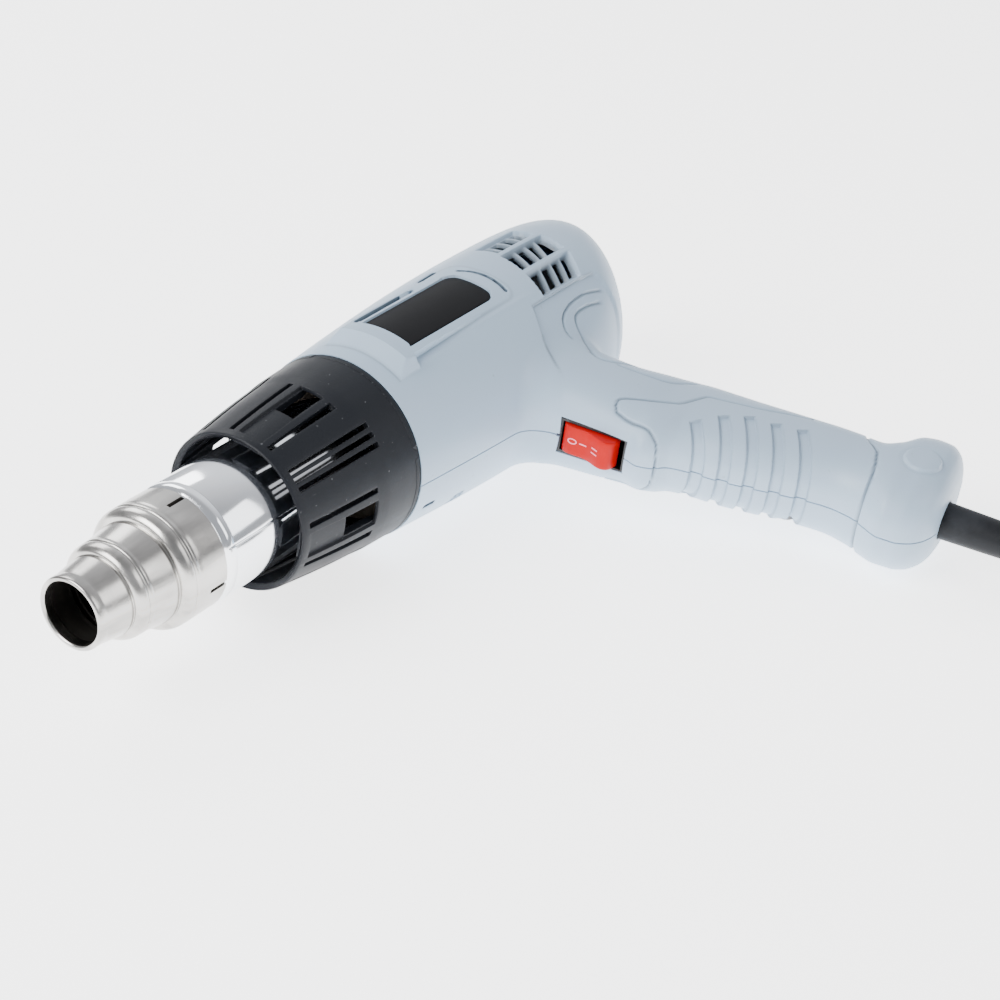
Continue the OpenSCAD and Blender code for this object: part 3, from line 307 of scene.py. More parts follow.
protector_end = 195.0
tip = laid(in_handle(protector_end, 0, 0)) * 1000
tip_way = laid(in_handle(1, 0, 0)) * 1000 - laid(in_handle(0, 0, 0)) * 1000
lead_z = floor_height + lead_radius
coil_middle, coil_radius, coil_pitch, coil_lift = np.array([170.0, -275.0]), 54.0, 7.6, 7.7
low_turns, climb, spread, top_turns, points_a_turn = 2.75, 0.5, 0.5, 1.5, 48
stretch = [
    tip, tip + 7 * tip_way, tip + 14 * tip_way, [217.5, -222, -25], [221.5, -240, -27.8],
    [223.6, -254, lead_z], [coil_middle[0] + coil_radius, -268, lead_z],
]
# The low layer winds inwards and climbs, a wider half turn leads out by one pitch, and the top
# layer winds outwards
inwards = low_turns + climb
layer_ends = np.cumsum([0, inwards, spread, top_turns])
pitches_out = np.cumsum([0, -inwards, 1, top_turns])
turns = np.linspace(0, layer_ends[-1], int(points_a_turn * layer_ends[-1]) + 1)
radii = coil_radius + coil_pitch * np.interp(turns, layer_ends, pitches_out)
rise = np.clip((turns - low_turns) / climb, 0, 1)
coil_line = np.stack([
    coil_middle[0] + radii * np.cos(-2 * np.pi * turns),
    coil_middle[1] + radii * np.sin(-2 * np.pi * turns),
    lead_z + coil_lift * (1 - np.cos(np.pi * rise)) / 2,
], -1)
plug_tail, plug_y, plug_z = 128.0, -324.0, floor_height + 12
tail_start = coil_line[-1] - [7, 0, 0]
tail = [
    tail_start, tail_start + [-10, -0.1, 0],
    [142, (tail_start[1] + plug_y) / 2, (tail_start[2] + plug_z) / 2], [plug_tail, plug_y, plug_z],
]
lead_line = np.vstack([flowing_line(stretch, 6), coil_line, flowing_line(tail, 6)]) / 1000
lead_grid = tube_along(lead_line, lead_radius / 1000, 20)

rubber = Finish("black_rubber", Specular_IOR_Level=0.2)
smear = rubber.noise(90)
rubber.set(
    Roughness=0.42 + 0.18 * smear,
    Base_Color=rubber.between(smear.step(0.45, 0.75), (0.008, 0.009, 0.011), (0.02, 0.022, 0.026)),
    Normal=rubber.bump(rubber.noise(1400, 2.0), 0.00004),
)
lead = make_piece("mains_lead", [(lead_grid, True)], [rubber], crease=60)
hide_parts("mains_cord", "cord_coil", "cord_tail")

# Mains plug.
# A round two-pin plug moulded in black plastic, flat on two sides, with a tapered neck where the
# lead goes in. Its turned pins are nickel-plated.
plug_line = np.array([
    [76, 0], [76, 17.2], [76.3, 17.9], [77, 18.3], [79, 18.4], [96, 18.4], [99, 18.0], [101, 16.6],
    [104, 12.4], [107, 8.6], [110, 6.7], [113, 6.0], [120, 5.2], [127.4, 4.7], [128, 4.5], [128, 3.4],
])


def round_axis(x, r, turns):
    """Points at x along the barrel and r from its axis, turned in degrees from the handle's side (0)
    over the left (90): minus r times the cosine across, r times the sine up."""
    x, r, turns = np.broadcast_arrays(np.asarray(x, float), r, np.radians(turns))
    return np.stack([x, -r * np.cos(turns), r * np.sin(turns)], -1)


def carried_round(line, turns):
    """A profile of (x, radius) carried round the barrel's axis."""
    line = np.asarray(line, float)
    return round_axis(line[:, :1], line[:, 1:], turns)


# Each height is divided by a soft maximum of 1 and its share of the flat sides' height
full_turn, flat_half = np.linspace(0, 360, 97), 11.9
plug_grid = carried_round(plug_line, full_turn)
plug_grid[..., 2] /= (1 + (np.abs(plug_grid[..., 2]) / flat_half) ** 10) ** 0.1
plug_grid += [0, plug_y, plug_z]
moulded = Finish("black_moulding", Base_Color=(0.02, 0.02, 0.022))
grain = moulded.noise(2600, 2.0)
moulded.set(Roughness=0.46 + 0.1 * moulded.noise(60), Normal=moulded.bump(grain, 0.00003))
plug = make_piece("plug", [(plug_grid / 1000, True)], [moulded], crease=40)
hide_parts("plug_body")


def carry_over(node, finish):
    """A CAD node that keeps its shape and gets its finish."""
    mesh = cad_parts[node].data
    mesh.materials.clear()
    mesh.materials.append(finish.material)


plated = Finish("nickel_plate", Base_Color=(0.72, 0.7, 0.66), Metallic=1.0)
plated.set(Roughness=0.2 + 0.2 * plated.noise(400))
carry_over("plug_pins", plated)

# Bend protector.
# A tapered sleeve of black rubber, pushed over the lead and held in the butt by its collar.
protector_line = [
    [135.1, 3.6], [135.1, 7.4], [135.4, 7.5], [138, 7.5], [138.1, 5.6], [145.5, 5.6], [146.5, 5.55],
    [160, 5.28], [175, 4.92], [190, 4.52], [193.6, 4.42], [194.6, 4.3], [protector_end, 4.0],
    [protector_end, 3.56],
]


def round_handle(line, turns):
    """A profile of (place along the handle, radius) carried round the handle's axis."""
    return in_handle(*np.moveaxis(carried_round(line, turns), -1, 0))


protector_grid = laid(round_handle(protector_line, np.linspace(0, 360, 65)))
protector = make_piece("bend_protector", [(protector_grid, True)], [rubber])
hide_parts("strain_relief")
carry_over("cord_inside", rubber)

# Reducer nozzle.
# Pressed from one round of 0.7 mm steel and plated in satin nickel: a rolled lip at the outlet,
# two rounded shoulders, each with a groove and a fine bead behind it, and a sleeve with spring slits.
lip_half, lip_middle_r, sleeve_r, sleeve_end = 0.75, 9.55, 17.3, 39.6
slit_front, slit_half = 33.5, np.degrees(0.6 / sleeve_r)
quarter = np.radians(np.linspace(0, 90, 13))
half_round = np.radians(np.linspace(-90, 90, 13))


def shoulder_line(x0, r0, x1, r1):
    """A crease, a quarter of an ellipse from (x0, r0) up to (x1, r1), then a groove and a fine bead."""
    crease = [[x0 - 0.9, r0 - 0.03], [x0 - 0.5, r0 - 0.12], [x0 - 0.15, r0 - 0.12]]
    shoulder = np.stack([x0 + (x1 - x0) * (1 - np.cos(quarter)), r0 + (r1 - r0) * np.sin(quarter)], 1)
    groove = [[x1 + 0.35, r1 - 0.1], [x1 + 0.6, r1 - 0.34], [x1 + 0.85, r1 - 0.32], [x1 + 1.1, r1 - 0.08]]
    bead = [[x1 + 1.4, r1 + 0.04], [x1 + 1.75, r1 + 0.03], [x1 + 2.1, r1 - 0.08], [x1 + 2.5, r1 - 0.06]]
    return np.vstack([crease, shoulder, groove, bead])


def straight_line(x0, r0, x1, r1, count):
    """Evenly spaced points along a straight cone."""
    return np.stack([np.linspace(x0, x1, count), np.linspace(r0, r1, count)], 1)


lip_line = np.stack([
    lip_half - lip_half * np.cos(half_round), lip_middle_r + lip_half * np.sin(half_round),
], 1)
nozzle_line = np.vstack([
    [[3.2, 8.8], [2.2, 8.8]], lip_line, [[2.5, 10.3], [2.8, 10.22]], straight_line(3.1, 10.2, 10.0, 11.22, 9),
    shoulder_line(11.2, 11.3, 14.3, 13.5), straight_line(17.2, 13.5, 23.5, 14.42, 8),
    shoulder_line(24.7, 14.5, 27.8, 17.25), [[30.7, 17.26]],
    straight_line(31, sleeve_r, sleeve_end, sleeve_r, 12),
])
slit_turns = np.array([84.5, 174.5, 264.5, 354.5])
nozzle_turns = np.unique(np.concatenate([
    np.arange(0, 360, 2.5), slit_turns - slit_half, slit_turns + slit_half, [360.0],
]))
nozzle_grid = carried_round(nozzle_line, nozzle_turns)
row_middle = (nozzle_line[1:, 0] + nozzle_line[:-1, 0]) / 2
turn_middle = (nozzle_turns[1:] + nozzle_turns[:-1]) / 2
in_slit = np.any(np.abs(turn_middle[:, None] - slit_turns) < slit_half, 1)
whole = ~((row_middle > slit_front)[:, None] & in_slit)

nickel = Finish("satin_nickel", Metallic=1.0)
draw_marks = nickel.noise(260, 4.0, (1.0, 0.08, 0.08))
ring_marks = nickel.noise(2400, 3.0, (1.0, 0.03, 0.03))
cloud = nickel.noise(70)
streaks = nickel.noise(150, 3.0, (0.22, 1.0, 1.0))
satin = nickel.between(cloud, (0.5, 0.485, 0.46), (0.64, 0.625, 0.6))
nickel.set(
    Base_Color=nickel.between(streaks.step(0.3, 0.7), (0.36, 0.35, 0.335), satin),
    Roughness=0.13 + 0.12 * cloud + 0.1 * draw_marks,
    Normal=nickel.bump(ring_marks * 0.6 + nickel.noise(3000, 2.0) * 0.4, 0.000012),
)
# The nozzle's inner wall is painted near black: painted shade inside the bore
painted_shade_lining = Finish("painted_shade_lining", Metallic=0.7, Roughness=0.55)
lining_mottle = painted_shade_lining.noise(90)
painted_shade_lining.set(Base_Color=painted_shade_lining.between(lining_mottle, (0.012, 0.011, 0.01), (0.05, 0.045, 0.04)))
nozzle = make_piece(
    "reducer_nozzle_sheet", [(laid(nozzle_grid), whole)], [nickel, painted_shade_lining],
    wall=0.0007, lining=True, crease=32, body="reducer",
)
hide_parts("reducer_nozzle")

# Air tube.
# A rolled steel tube with a bright chrome finish, drawn in at its mouth to take the nozzle, with
# one folded seam along it. It carries the heater and runs back into the housing.
tube_r = 17.5
tube_line = np.array([
    [29.6, 16.1], [29.7, 16.4], [30, 16.5], [39.9, 16.5], [40.1, 16.62], [40.35, 16.66], [40.5, 16.56],
    [40.8, 16.8], [41.3, 17.2], [41.8, 17.45], [42.3, tube_r], [43.6, tube_r], [43.75, 17.42],
    [43.9, tube_r], [60, tube_r], [85, tube_r], [105, tube_r], [127, tube_r],
])
fold_turn, fold_half, fold_depth, fold_front = 24.5, np.degrees(0.22 / tube_r), 0.2, 42.0


def mark_of(distance, half=0.34):
    """The share of a fine groove's depth at a distance from its middle: a bell curve."""
    return np.exp(-((distance / half) ** 2))


tube_turns = np.sort(np.concatenate([
    np.arange(0, 360.1, 2.0), fold_turn + fold_half * np.array([-2, -1, 0, 1, 2]),
]))
tube_grid = carried_round(tube_line, tube_turns)
fold = fold_depth * mark_of(tube_turns - fold_turn, fold_half) * (tube_line[:, :1] > fold_front)
tube_grid[..., 1:] *= (1 - fold / tube_r)[..., None]
# The mouth, which the nozzle's sleeve covers, is painted near black as shade, so that the sleeve's slits read
# dark
chrome = Finish("bright_chrome", Metallic=1.0)
handled = chrome.noise(55, 4.0)
wipe = chrome.scuffs(220, 0.33, (1.0, 0.15, 0.6))
uncovered = chrome.along("X").step((sleeve_end + 0.2) / 1000, (sleeve_end + 0.5) / 1000)
chrome.set(
    Base_Color=chrome.between(
        uncovered, (0.03, 0.028, 0.026),
        chrome.between(handled.step(0.4, 0.8), (0.95, 0.97, 1.0), (0.88, 0.92, 0.97)),
    ),
    Roughness=0.09 + 0.05 * handled + 0.07 * wipe,
    Normal=chrome.bump(chrome.noise(160, 2.0), 0.00003),
)
tube = make_piece("chromed_tube", [(laid(tube_grid), True)], [chrome], wall=0.0006)
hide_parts("air_tube")

# Heat guard.
# A moulding of black glass-filled plastic round the hot tube. Four groups of three fine slots
# stand between four pairs of slots with a sunk pocket and window; a spigot fits into the housing.
guard_front, guard_rear, guard_front_r, guard_rear_r, guard_bulge = 63.5, 110.0, 23.4, 27.7, 0.7
slot_front, window_front, pocket_rear, slot_rear, pocket_depth = 66.1, 80.15, 92.0, 96.5, 0.9


def ease(value):
    """0 to 1 with a smooth start and end: three times the square less twice the cube."""
    value = np.clip(value, 0, 1)
    return value * value * (3 - 2 * value)


def guard_radius(x):
    """A cone plus half a sine wave for its bulge, with the slotted front part let in a little."""
    t = (x - guard_front) / (guard_rear - guard_front)
    let_in = 0.3 * (1 - ease((x - 91) / 6))
    cone = guard_front_r + (guard_rear_r - guard_front_r) * t
    return cone + guard_bulge * np.sin(np.pi * np.clip(t, 0, 1)) - let_in


guard_x = np.sort(np.concatenate([
    [guard_front, 63.7, 64.0, slot_front, 66.4, 80.0, window_front, pocket_rear, 92.15, slot_rear, 96.65],
    np.arange(68, 80, 2), np.arange(81, 92, 1.5), np.arange(93, 96.4, 1.0), np.arange(98, guard_rear, 1.5),
    [guard_rear],
]))
guard_r = guard_radius(guard_x)
guard_r[:2] -= [0.35, 0.12]
# Each edge of a slot or pocket: its group's turn, how far to the side in mm, and how much it
# widens from front to rear; then the number of columns from each edge to the next, and which of
# them, counted by the edge in front, are slots, pocket and window
slot_edges = [
    (22.5, 0, 0), (38.5, -0.8, 0), (38.5, 0.8, 0), (45, -0.8, 0), (45, 0.8, 0), (51.5, -0.8, 0),
    (51.5, 0.8, 0), (72, -0.8, -0.4), (72, 0.8, 0.4), (88, -4.0, 0), (88, -3.75, 0), (88, -3.2, 0),
    (88, 3.2, 0), (88, 3.75, 0), (88, 4.0, 0), (103.5, -0.8, 0), (103.5, 0.8, 0), (112.5, 0, 0),
]
edge_steps = [6, 1, 2, 1, 2, 1, 7, 1, 5, 1, 1, 5, 1, 1, 4, 1, 3]
fine_kinds, side_kinds, pocket_kinds, window_kind = [1, 3, 5], [7, 15], [10, 11, 12], 11
widen = np.clip((guard_x - 66) / 26, 0, 1)
edge_turns = np.stack([
    turn + np.degrees((side + extra * widen) / guard_r) for turn, side, extra in slot_edges
], 1)
one_quarter = np.hstack([
    edge_turns[:, [i]] + (edge_turns[:, [i + 1]] - edge_turns[:, [i]]) * np.arange(n) / n
    for i, n in enumerate(edge_steps)
])
guard_turns = np.hstack([one_quarter + 90 * q for q in range(4)] + [one_quarter[:, :1] + 360])
column_kind = np.tile(np.repeat(np.arange(len(edge_steps)), edge_steps), 4)
in_pocket = np.isin(column_kind, pocket_kinds)
pocket_columns = np.append(in_pocket, False) | np.append(False, in_pocket)
pocket_rows = (guard_x > slot_front) & (guard_x <= pocket_rear)
guard_grid_r = guard_r[:, None] - pocket_depth * (pocket_rows[:, None] & pocket_columns)
guard_grid = round_axis(guard_x[:, None], guard_grid_r, guard_turns)
guard_mid = (guard_x[1:] + guard_x[:-1])[:, None] / 2
fine_slot = np.isin(column_kind, fine_kinds) & (guard_mid > slot_front) & (guard_mid < slot_rear)
side_slot = np.isin(column_kind, side_kinds) & (guard_mid > slot_front) & (guard_mid < pocket_rear)
window = (column_kind == window_kind) & (guard_mid > window_front) & (guard_mid < pocket_rear)
spigot_r, spigot_end = 25.0, 116.0
spigot_line = [[guard_rear, guard_radius(guard_rear)], [guard_rear, spigot_r], [spigot_end, spigot_r]]
spigot = carried_round(spigot_line, full_turn)

heat_plastic = Finish("guard_plastic", Specular_IOR_Level=0.22)
fibres = heat_plastic.noise(1900)
dust = heat_plastic.noise(900, 1.0).step(0.76, 0.79)
scrape = heat_plastic.scuffs(420, 0.28, (0.35, 1.6, 1.0)) * heat_plastic.noise(45).step(0.5, 0.62)
heat_plastic.set(
    Base_Color=heat_plastic.between(dust * 0.35 + scrape * 0.25, (0.007, 0.0085, 0.012), (0.2, 0.21, 0.22)),
    Roughness=0.4 + 0.14 * heat_plastic.noise(120) - 0.1 * scrape,
    Normal=heat_plastic.bump(fibres, 0.00003),
)
# The rounded edges get a lighter finish: partly wear, partly painted highlight along the rims
worn_and_highlit_edge = Finish("guard_worn_and_highlit_edge")
rubbed_and_highlit = worn_and_highlit_edge.noise(330).step(0.38, 0.62)
worn_and_highlit_edge.set(
    Base_Color=worn_and_highlit_edge.between(rubbed_and_highlit, (0.045, 0.047, 0.05), (0.2, 0.21, 0.22)),
    Roughness=0.32 + 0.1 * rubbed_and_highlit,
)
guard = make_piece(
    "slotted_guard", [(laid(guard_grid), ~(fine_slot | side_slot | window)), (laid(spigot), True)],
    [heat_plastic, worn_and_highlit_edge], wall=0.002, edge=0.0002, crease=38,
)
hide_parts("heat_guard")

# Housing.
# Two halves moulded in cool grey plastic with a satin grain, screwed together along a fine seam.
# The barrel has a raised lip and frame at each side, three rows of rounded vents and a stepped
# rear panel; the handle has fine panel lines, slanting finger channels and a ring round its butt.
body_front, body_full, body_back, front_r, full_r = 110.0, 186.0, 242.0, 28.0, 32.0
rear_power, rear_slope, rear_short, late_share, late_length = 3.4, 0.58, 0.4, 0.8, 28.0
late_start = body_full + late_share * (body_back - body_full)
seam_depth, seam_half, seam_edge = 0.5, 0.22, 0.14


def front_radius(x):
    """The barrel's radius as far as its widest place: it swells along a quarter of a sine wave."""
    share = np.clip((x - body_front) / (body_full - body_front), 0, 1)
    return front_r + (full_r - front_r) * np.sin(np.pi / 2 * share)


def rear_radius(u):
    """Its radius behind that, at a share u of the rear's length: a superellipse."""
    return full_r * (1 - u**rear_power) ** (1 / rear_power)


def barrel_place(t, turn):
    """A point of the plain barrel: t runs along it, from its front edge over the rounded rear end,
    and turn goes round it from the handle's side over the left. Late on, the rows follow the
    superellipse's angle v, and the whole rear leans back on the side away from the handle."""
    t, turn = np.broadcast_arrays(t, turn)
    late_angle = np.arcsin(late_share ** (rear_power / 2))
    v = np.clip(late_angle + (t - late_start) / late_length * (np.pi / 2 - late_angle), 0, np.pi / 2)
    early = np.clip((t - body_full) / (body_back - body_full), 0, late_share)
    u = np.where(t > late_start, np.sin(v) ** (2 / rear_power), early)
    r = np.where(t <= body_full, front_radius(t), rear_radius(u))
    x = np.minimum(t, body_full) + (body_back - body_full - rear_short) * u
    return round_axis(x - rear_slope * u * r * np.cos(np.radians(turn)), r, turn)


def seam_groove(distance):
    """The depth of the groove at a distance in mm from the seam, eased at its edges."""
    return seam_depth * ease((seam_half - distance) / seam_edge)


def to_line(x, y, line):
    """Distance from each (x, y) to a line of points: to the nearest point of the nearest stretch."""
    near = np.inf
    for (ax, ay), (bx, by) in zip(line[:-1], line[1:]):
        along = ((x - ax) * (bx - ax) + (y - ay) * (by - ay)) / ((bx - ax) ** 2 + (by - ay) ** 2)
        along = np.clip(along, 0, 1)
        near = np.minimum(near, np.hypot(x - ax - along * (bx - ax), y - ay - along * (by - ay)))
    return near


def in_corners(x, y, corners, soft=0.3):
    """Signed distance into a shape with straight sides, negative inside. It is the soft maximum of
    the distances beyond the sides, the log of a sum of exponentials, so the corners are round."""
    corners = np.asarray(corners, float)
    middle = corners.mean(0)
    total = 0.0
    for (ax, ay), (bx, by) in zip(corners, np.roll(corners, -1, 0)):
        nx, ny = by - ay, ax - bx
        size = np.hypot(nx, ny) * np.sign(nx * (ax - middle[0]) + ny * (ay - middle[1]))
        total = total + np.exp(np.clip((nx * (x - ax) + ny * (y - ay)) / size / soft, -60, 60))
    return soft * np.log(total)


def rounded_block(x, y, half_x, half_y, corner):
    """Signed distance to a block with round corners: the distance to the block that the corners'
    centres span, less the corners' radius."""
    px, py = np.abs(x) - half_x + corner, np.abs(y) - half_y + corner
    return np.hypot(np.maximum(px, 0), np.maximum(py, 0)) + np.minimum(np.maximum(px, py), 0) - corner


def rounded_dip(distance, lip):
    """How far a surface sinks towards an opening's edge, rounded over like a quarter of a pipe."""
    inside = np.clip(lip - distance, 0, lip)
    return lip - np.sqrt(lip * lip - inside * inside)


# Vents: each row's turns at its top and bottom, then the middles in x of its fins there
vent_rows = [
    (112.6, 101.2, [189.6, 194.7, 200.1, 205.2, 209.2], [189.3, 193.7, 198.9, 204.0, 208.6]),
    (94.6, 81.2, [187.8, 194.5, 200.1, 205.4, 209.6], [186.4, 191.6, 197.2, 201.3, 208.9]),
    (74.6, 62.0, [185.6, 192.5, 198.2, 203.4, 208.0], [184.0, 188.6, 194.5, 199.4, 204.0]),
]
rib_turns, rib_half, rib_high, fin_half, vent_lip = (77.9, 97.9), 0.75, 1.25, 1.05, 1.0
barrel_arc = np.radians(31.8)
vent_shapes = [
    [
        (tops[i] + fin_half, top * barrel_arc), (tops[i + 1] - fin_half, top * barrel_arc),
        (bottoms[i + 1] - fin_half, bottom * barrel_arc), (bottoms[i] + fin_half, bottom * barrel_arc),
    ]
    for top, bottom, tops, bottoms in vent_rows
    for i in range(4)
]
# Slots beside the frame: each one's half width, then its points as (x, turn)
slot_lines = [
    (1.3, [(127.2, 110.2), (140.0, 110.5), (152.8, 110.8)]),
    (0.95, [(162.0, 117.0), (169.0, 117.0)]),
    (0.66, [(171.9, 104.0), (173.2, 98.0), (173.8, 92.0), (174.0, 86.5), (173.7, 79.5), (173.0, 74.0)]),
]
notch_x, notch_turn, notch_size = 117.3, 21, (2.5, 0.9, 0.4)
# The raised frame and the plate's bed: middle in x, (half length, half width, corner), the x
# where it starts, and the radius of its face; then the lip's rise in mm along x
frame_middle, frame_size, frame_front, frame_r = 145.0, (30.0, 12.2, 4.6), 122.0, 31.72
bed_middle, bed_size, bed_front, bed_r = 140.0, (28.5, 8.45, 3.7), 125.9, 30.3
lip_x, lip_rise, lip_half_w = [115.8, 120.1, 120.8, 124.0, 124.5], [0, 3.1, 3.05, 2.6, 0.9], 14.6
frame_up, frame_ramp = 0.7, 0.42
ridge_turn, ridge_high, ridge_half, ridge_from, ridge_to = 65, 0.3, 0.9, 124, 182
# The rear panel as seen from the side: its step's corner and foot, depths, the turn that it
# reaches up to, and its two marks
step_corner, step_foot, step_depth, mark_depth, panel_turn = (176.3, -16.5), (169.7, -29.4), 0.8, 0.75, 62
outer_mark = [
    (209.4, -21.1), (200.4, -20.4), (195.0, -20.6), (191.5, -21.0), (187.6, -21.9), (185.3, -23.0),
    (184.0, -24.6), (183.5, -26.3), (183.6, -27.6),
]
inner_mark = [
    (206.0, -23.6), (198.6, -23.2), (194.0, -23.3), (191.6, -23.7), (190.3, -24.6), (189.6, -26.0),
    (188.9, -28.2), (186.6, -31.6), (183.6, -35.0), (182.6, -37.6), (183.0, -39.6), (184.5, -41.8),
    (187.4, -44.6), (190.6, -47.0),
]


def side_lines(x, y):
    """Depth of the rear panel's step and of its two marks, as seen from the side, and their painted shade, a
    darkening along the marks and the step's foot. The step lies behind the line from its corner to its foot
    and below the corner's height."""
    (corner_x, corner_y), (foot_x, foot_y) = step_corner, step_foot
    run = np.hypot(foot_x - corner_x, foot_y - corner_y)
    before = ((foot_y - corner_y) * (x - corner_x) - (foot_x - corner_x) * (y - corner_y)) / run
    edge = np.maximum(before, y - corner_y)
    rear_edge = 214.4 - 0.075 * (y + 23.3) ** 2
    held = ease((rear_edge - x) / 1.1) * ease((y + 36) / 8)
    step = step_depth * ease(-edge / 0.4) * held * (1 - 0.5 * ease((-edge - 3) / 9))
    marks = mark_of(np.minimum(to_line(x, y, outer_mark), to_line(x, y, inner_mark)))
    return step + mark_depth * marks, np.maximum(marks, mark_of(edge + 0.2, 0.4) * held)


def side_slots(x, turn, left):
    """Signed distance to the nearest vent, and to the nearest slot beside the frame."""
    arc = turn * barrel_arc
    vents, slots = np.inf, np.inf
    for shape in vent_shapes:
        vents = np.minimum(vents, in_corners(x, arc, shape))
    for half, line in slot_lines:
        slots = np.minimum(slots, to_line(x, arc, np.array(line) * [1, barrel_arc]) - half)
    if not left:
        slots = np.minimum(slots, rounded_block(x - notch_x, arc - notch_turn * barrel_arc, *notch_size))
    return vents, slots


# Screws: each seat's x and y and its depth from the seam
screw_hole_r = 3.1
screw_seats = [(134.0, 23.5, 8.5), (134.0, -23.5, 8.5), (228.5, 12.0, 11.0)]
for s, d, depth in ((62.0, 9.4, 7.5), (103.9, -10.4, 7.5), (134.1, 17.0, 8.5)):
    screw_seats.append((*in_handle(s, d, 0)[:2], depth))


def screw_holes(x, y):
    """Signed distance to the nearest screw hole, and that hole's depth from the seam."""
    near, depth = np.inf, 0.0
    for seat_x, seat_y, seat_z in screw_seats:
        here = np.hypot(x - seat_x, y - seat_y) - screw_hole_r
        depth = np.where(here < near, seat_z, depth)
        near = np.minimum(near, here)
    return near, depth


def bored(points, place):
    """The points, those whose plain place lies over a screw hole let down to its seat."""
    hole, depth = screw_holes(place[..., 0], place[..., 1])
    height = np.where(hole < 0, np.minimum(depth, points[..., 2]), points[..., 2])
    return np.concatenate([points[..., :2], height[..., None]], -1)


side_r, far_off = 31.4, 99.0


def up_the_side(t, turn):
    """How far a point lies above the middle line of the barrel's side, or far off on the rear."""
    return np.where(t < body_full, -side_r * np.cos(np.radians(turn)), far_off)


def plate_bed(x, high):
    """Signed distance to the plate's bed."""
    return np.maximum(rounded_block(x - bed_middle, high, *bed_size), bed_front - x)


def barrel_side(t, turn, left):
    """The finished side of the barrel, and its painted shade. Frame, lip, bed and ridge raise the plain
    barrel, vents, slots, panel lines and seam sink it, and the sum pushes each point outwards."""
    place = barrel_place(t, turn)
    x, y, z = np.moveaxis(place, -1, 0)
    r = np.hypot(y, z)
    high = up_the_side(t, turn)
    frame_edge = rounded_block(x - frame_middle, high - frame_up, *frame_size)
    frame_edge = np.maximum(frame_edge, frame_front - x)
    raise_by = ease(-frame_edge / frame_ramp) * np.maximum(frame_r - r, 0)
    lip = np.minimum(np.interp(x, lip_x, lip_rise), 0.95 * (lip_half_w - np.abs(high)))
    raise_by = np.maximum(raise_by, np.where(x < lip_x[-1] + 0.1, lip, 0))
    if left:
        raise_by = np.where(plate_bed(x, high) < 0, bed_r - r, raise_by)
    ridge = ridge_high * mark_of((turn - ridge_turn) * barrel_arc, ridge_half)
    ridge = ridge * ease((x - ridge_from) / 4) * ease((ridge_to - x) / 10)
    vents, slots = side_slots(x, turn, left)
    off_rib = np.minimum(*(np.abs(turn - middle) for middle in rib_turns)) * barrel_arc - rib_half
    let_in = ease(off_rib / 0.5) * ease((1.5 - vents) / 0.5)
    seam = seam_groove(np.minimum(turn, 180 - turn) * np.radians(1) * r) * ease((r - 12) / 8)
    panel, panel_painted_shade = side_lines(x, y)
    beside = np.degrees(np.arctan2(z, -y)) < panel_turn
    sink = panel * beside + seam + rounded_dip(vents, vent_lip) + rounded_dip(slots, 0.2) + rib_high * let_in
    # Painted shade: darker in the panel lines, over the vents' let-in recess, towards the vent openings, and
    # at the feet of the frame and the lip
    painted_shade = 0.5 * panel_painted_shade * beside + 0.25 * let_in + 0.6 * ease(1.0 - vents)
    frame_foot = mark_of(frame_edge - 0.1, 0.5) * (raise_by < 0.3)
    lip_foot = mark_of(x - lip_x[0] + 0.2, 0.5) * ease((lip_half_w + 0.6 - np.abs(high)) / 0.6)
    painted_shade = np.maximum(painted_shade, np.maximum(0.22 * frame_foot, 0.3 * lip_foot))
    push = raise_by + ridge * (raise_by < 0.05) - sink
    x = x + push * np.where(t > body_full, (t - body_full) / 90, 0.0)
    out = np.stack([x, *(np.stack([y, z]) * (1 + push / np.maximum(r, 6)))], -1)
    return out if left else bored(out, place), painted_shade


def snapped(t, turn, left):
    """Moves grid points that lie near the edge of an opening onto it, so that the edge is even: two
    of Newton's steps down the distance's slope."""
    def distance(t, turn):
        place = barrel_place(t, turn)
        x = place[..., 0]
        near = np.minimum(*side_slots(x, turn, left))
        other = plate_bed(x, up_the_side(t, turn)) if left else screw_holes(x, place[..., 1])[0]
        return np.where(np.abs(other) < np.abs(near), other, near)

    step_t, step_turn = 0.02, 0.04
    for _ in range(2):
        now = distance(t, turn)
        by_t = (distance(t + step_t, turn) - now) / step_t
        by_arc = (distance(t, turn + step_turn) - now) / (step_turn * barrel_arc)
        close = np.where(np.abs(now) < 0.26, now / np.maximum(by_t**2 + by_arc**2, 0.3), 0)
        t, turn = t - close * by_t, turn - close * by_arc / barrel_arc
    return t, np.clip(turn, 0, 180)


# Rows along and columns round the barrel, closest where the openings and the seam lie
barrel_t = np.unique(np.concatenate([
    np.arange(body_front, 126, 0.5), [lip_x[0] - 0.5], lip_x, np.arange(126, 166, 1.0),
    np.arange(166, 211, 0.42), np.arange(211, late_start - 0.5, 1.1),
    np.linspace(late_start, late_start + late_length, 24),
]))
barrel_turn = np.concatenate([
    [0, 0.15, 0.29, 0.42, 0.8], np.arange(2, 16, 1.7), np.arange(16, 120, 0.78), np.arange(120, 178, 2.4),
    [178.2, 179.2, 179.58, 179.71, 179.85, 180],
])

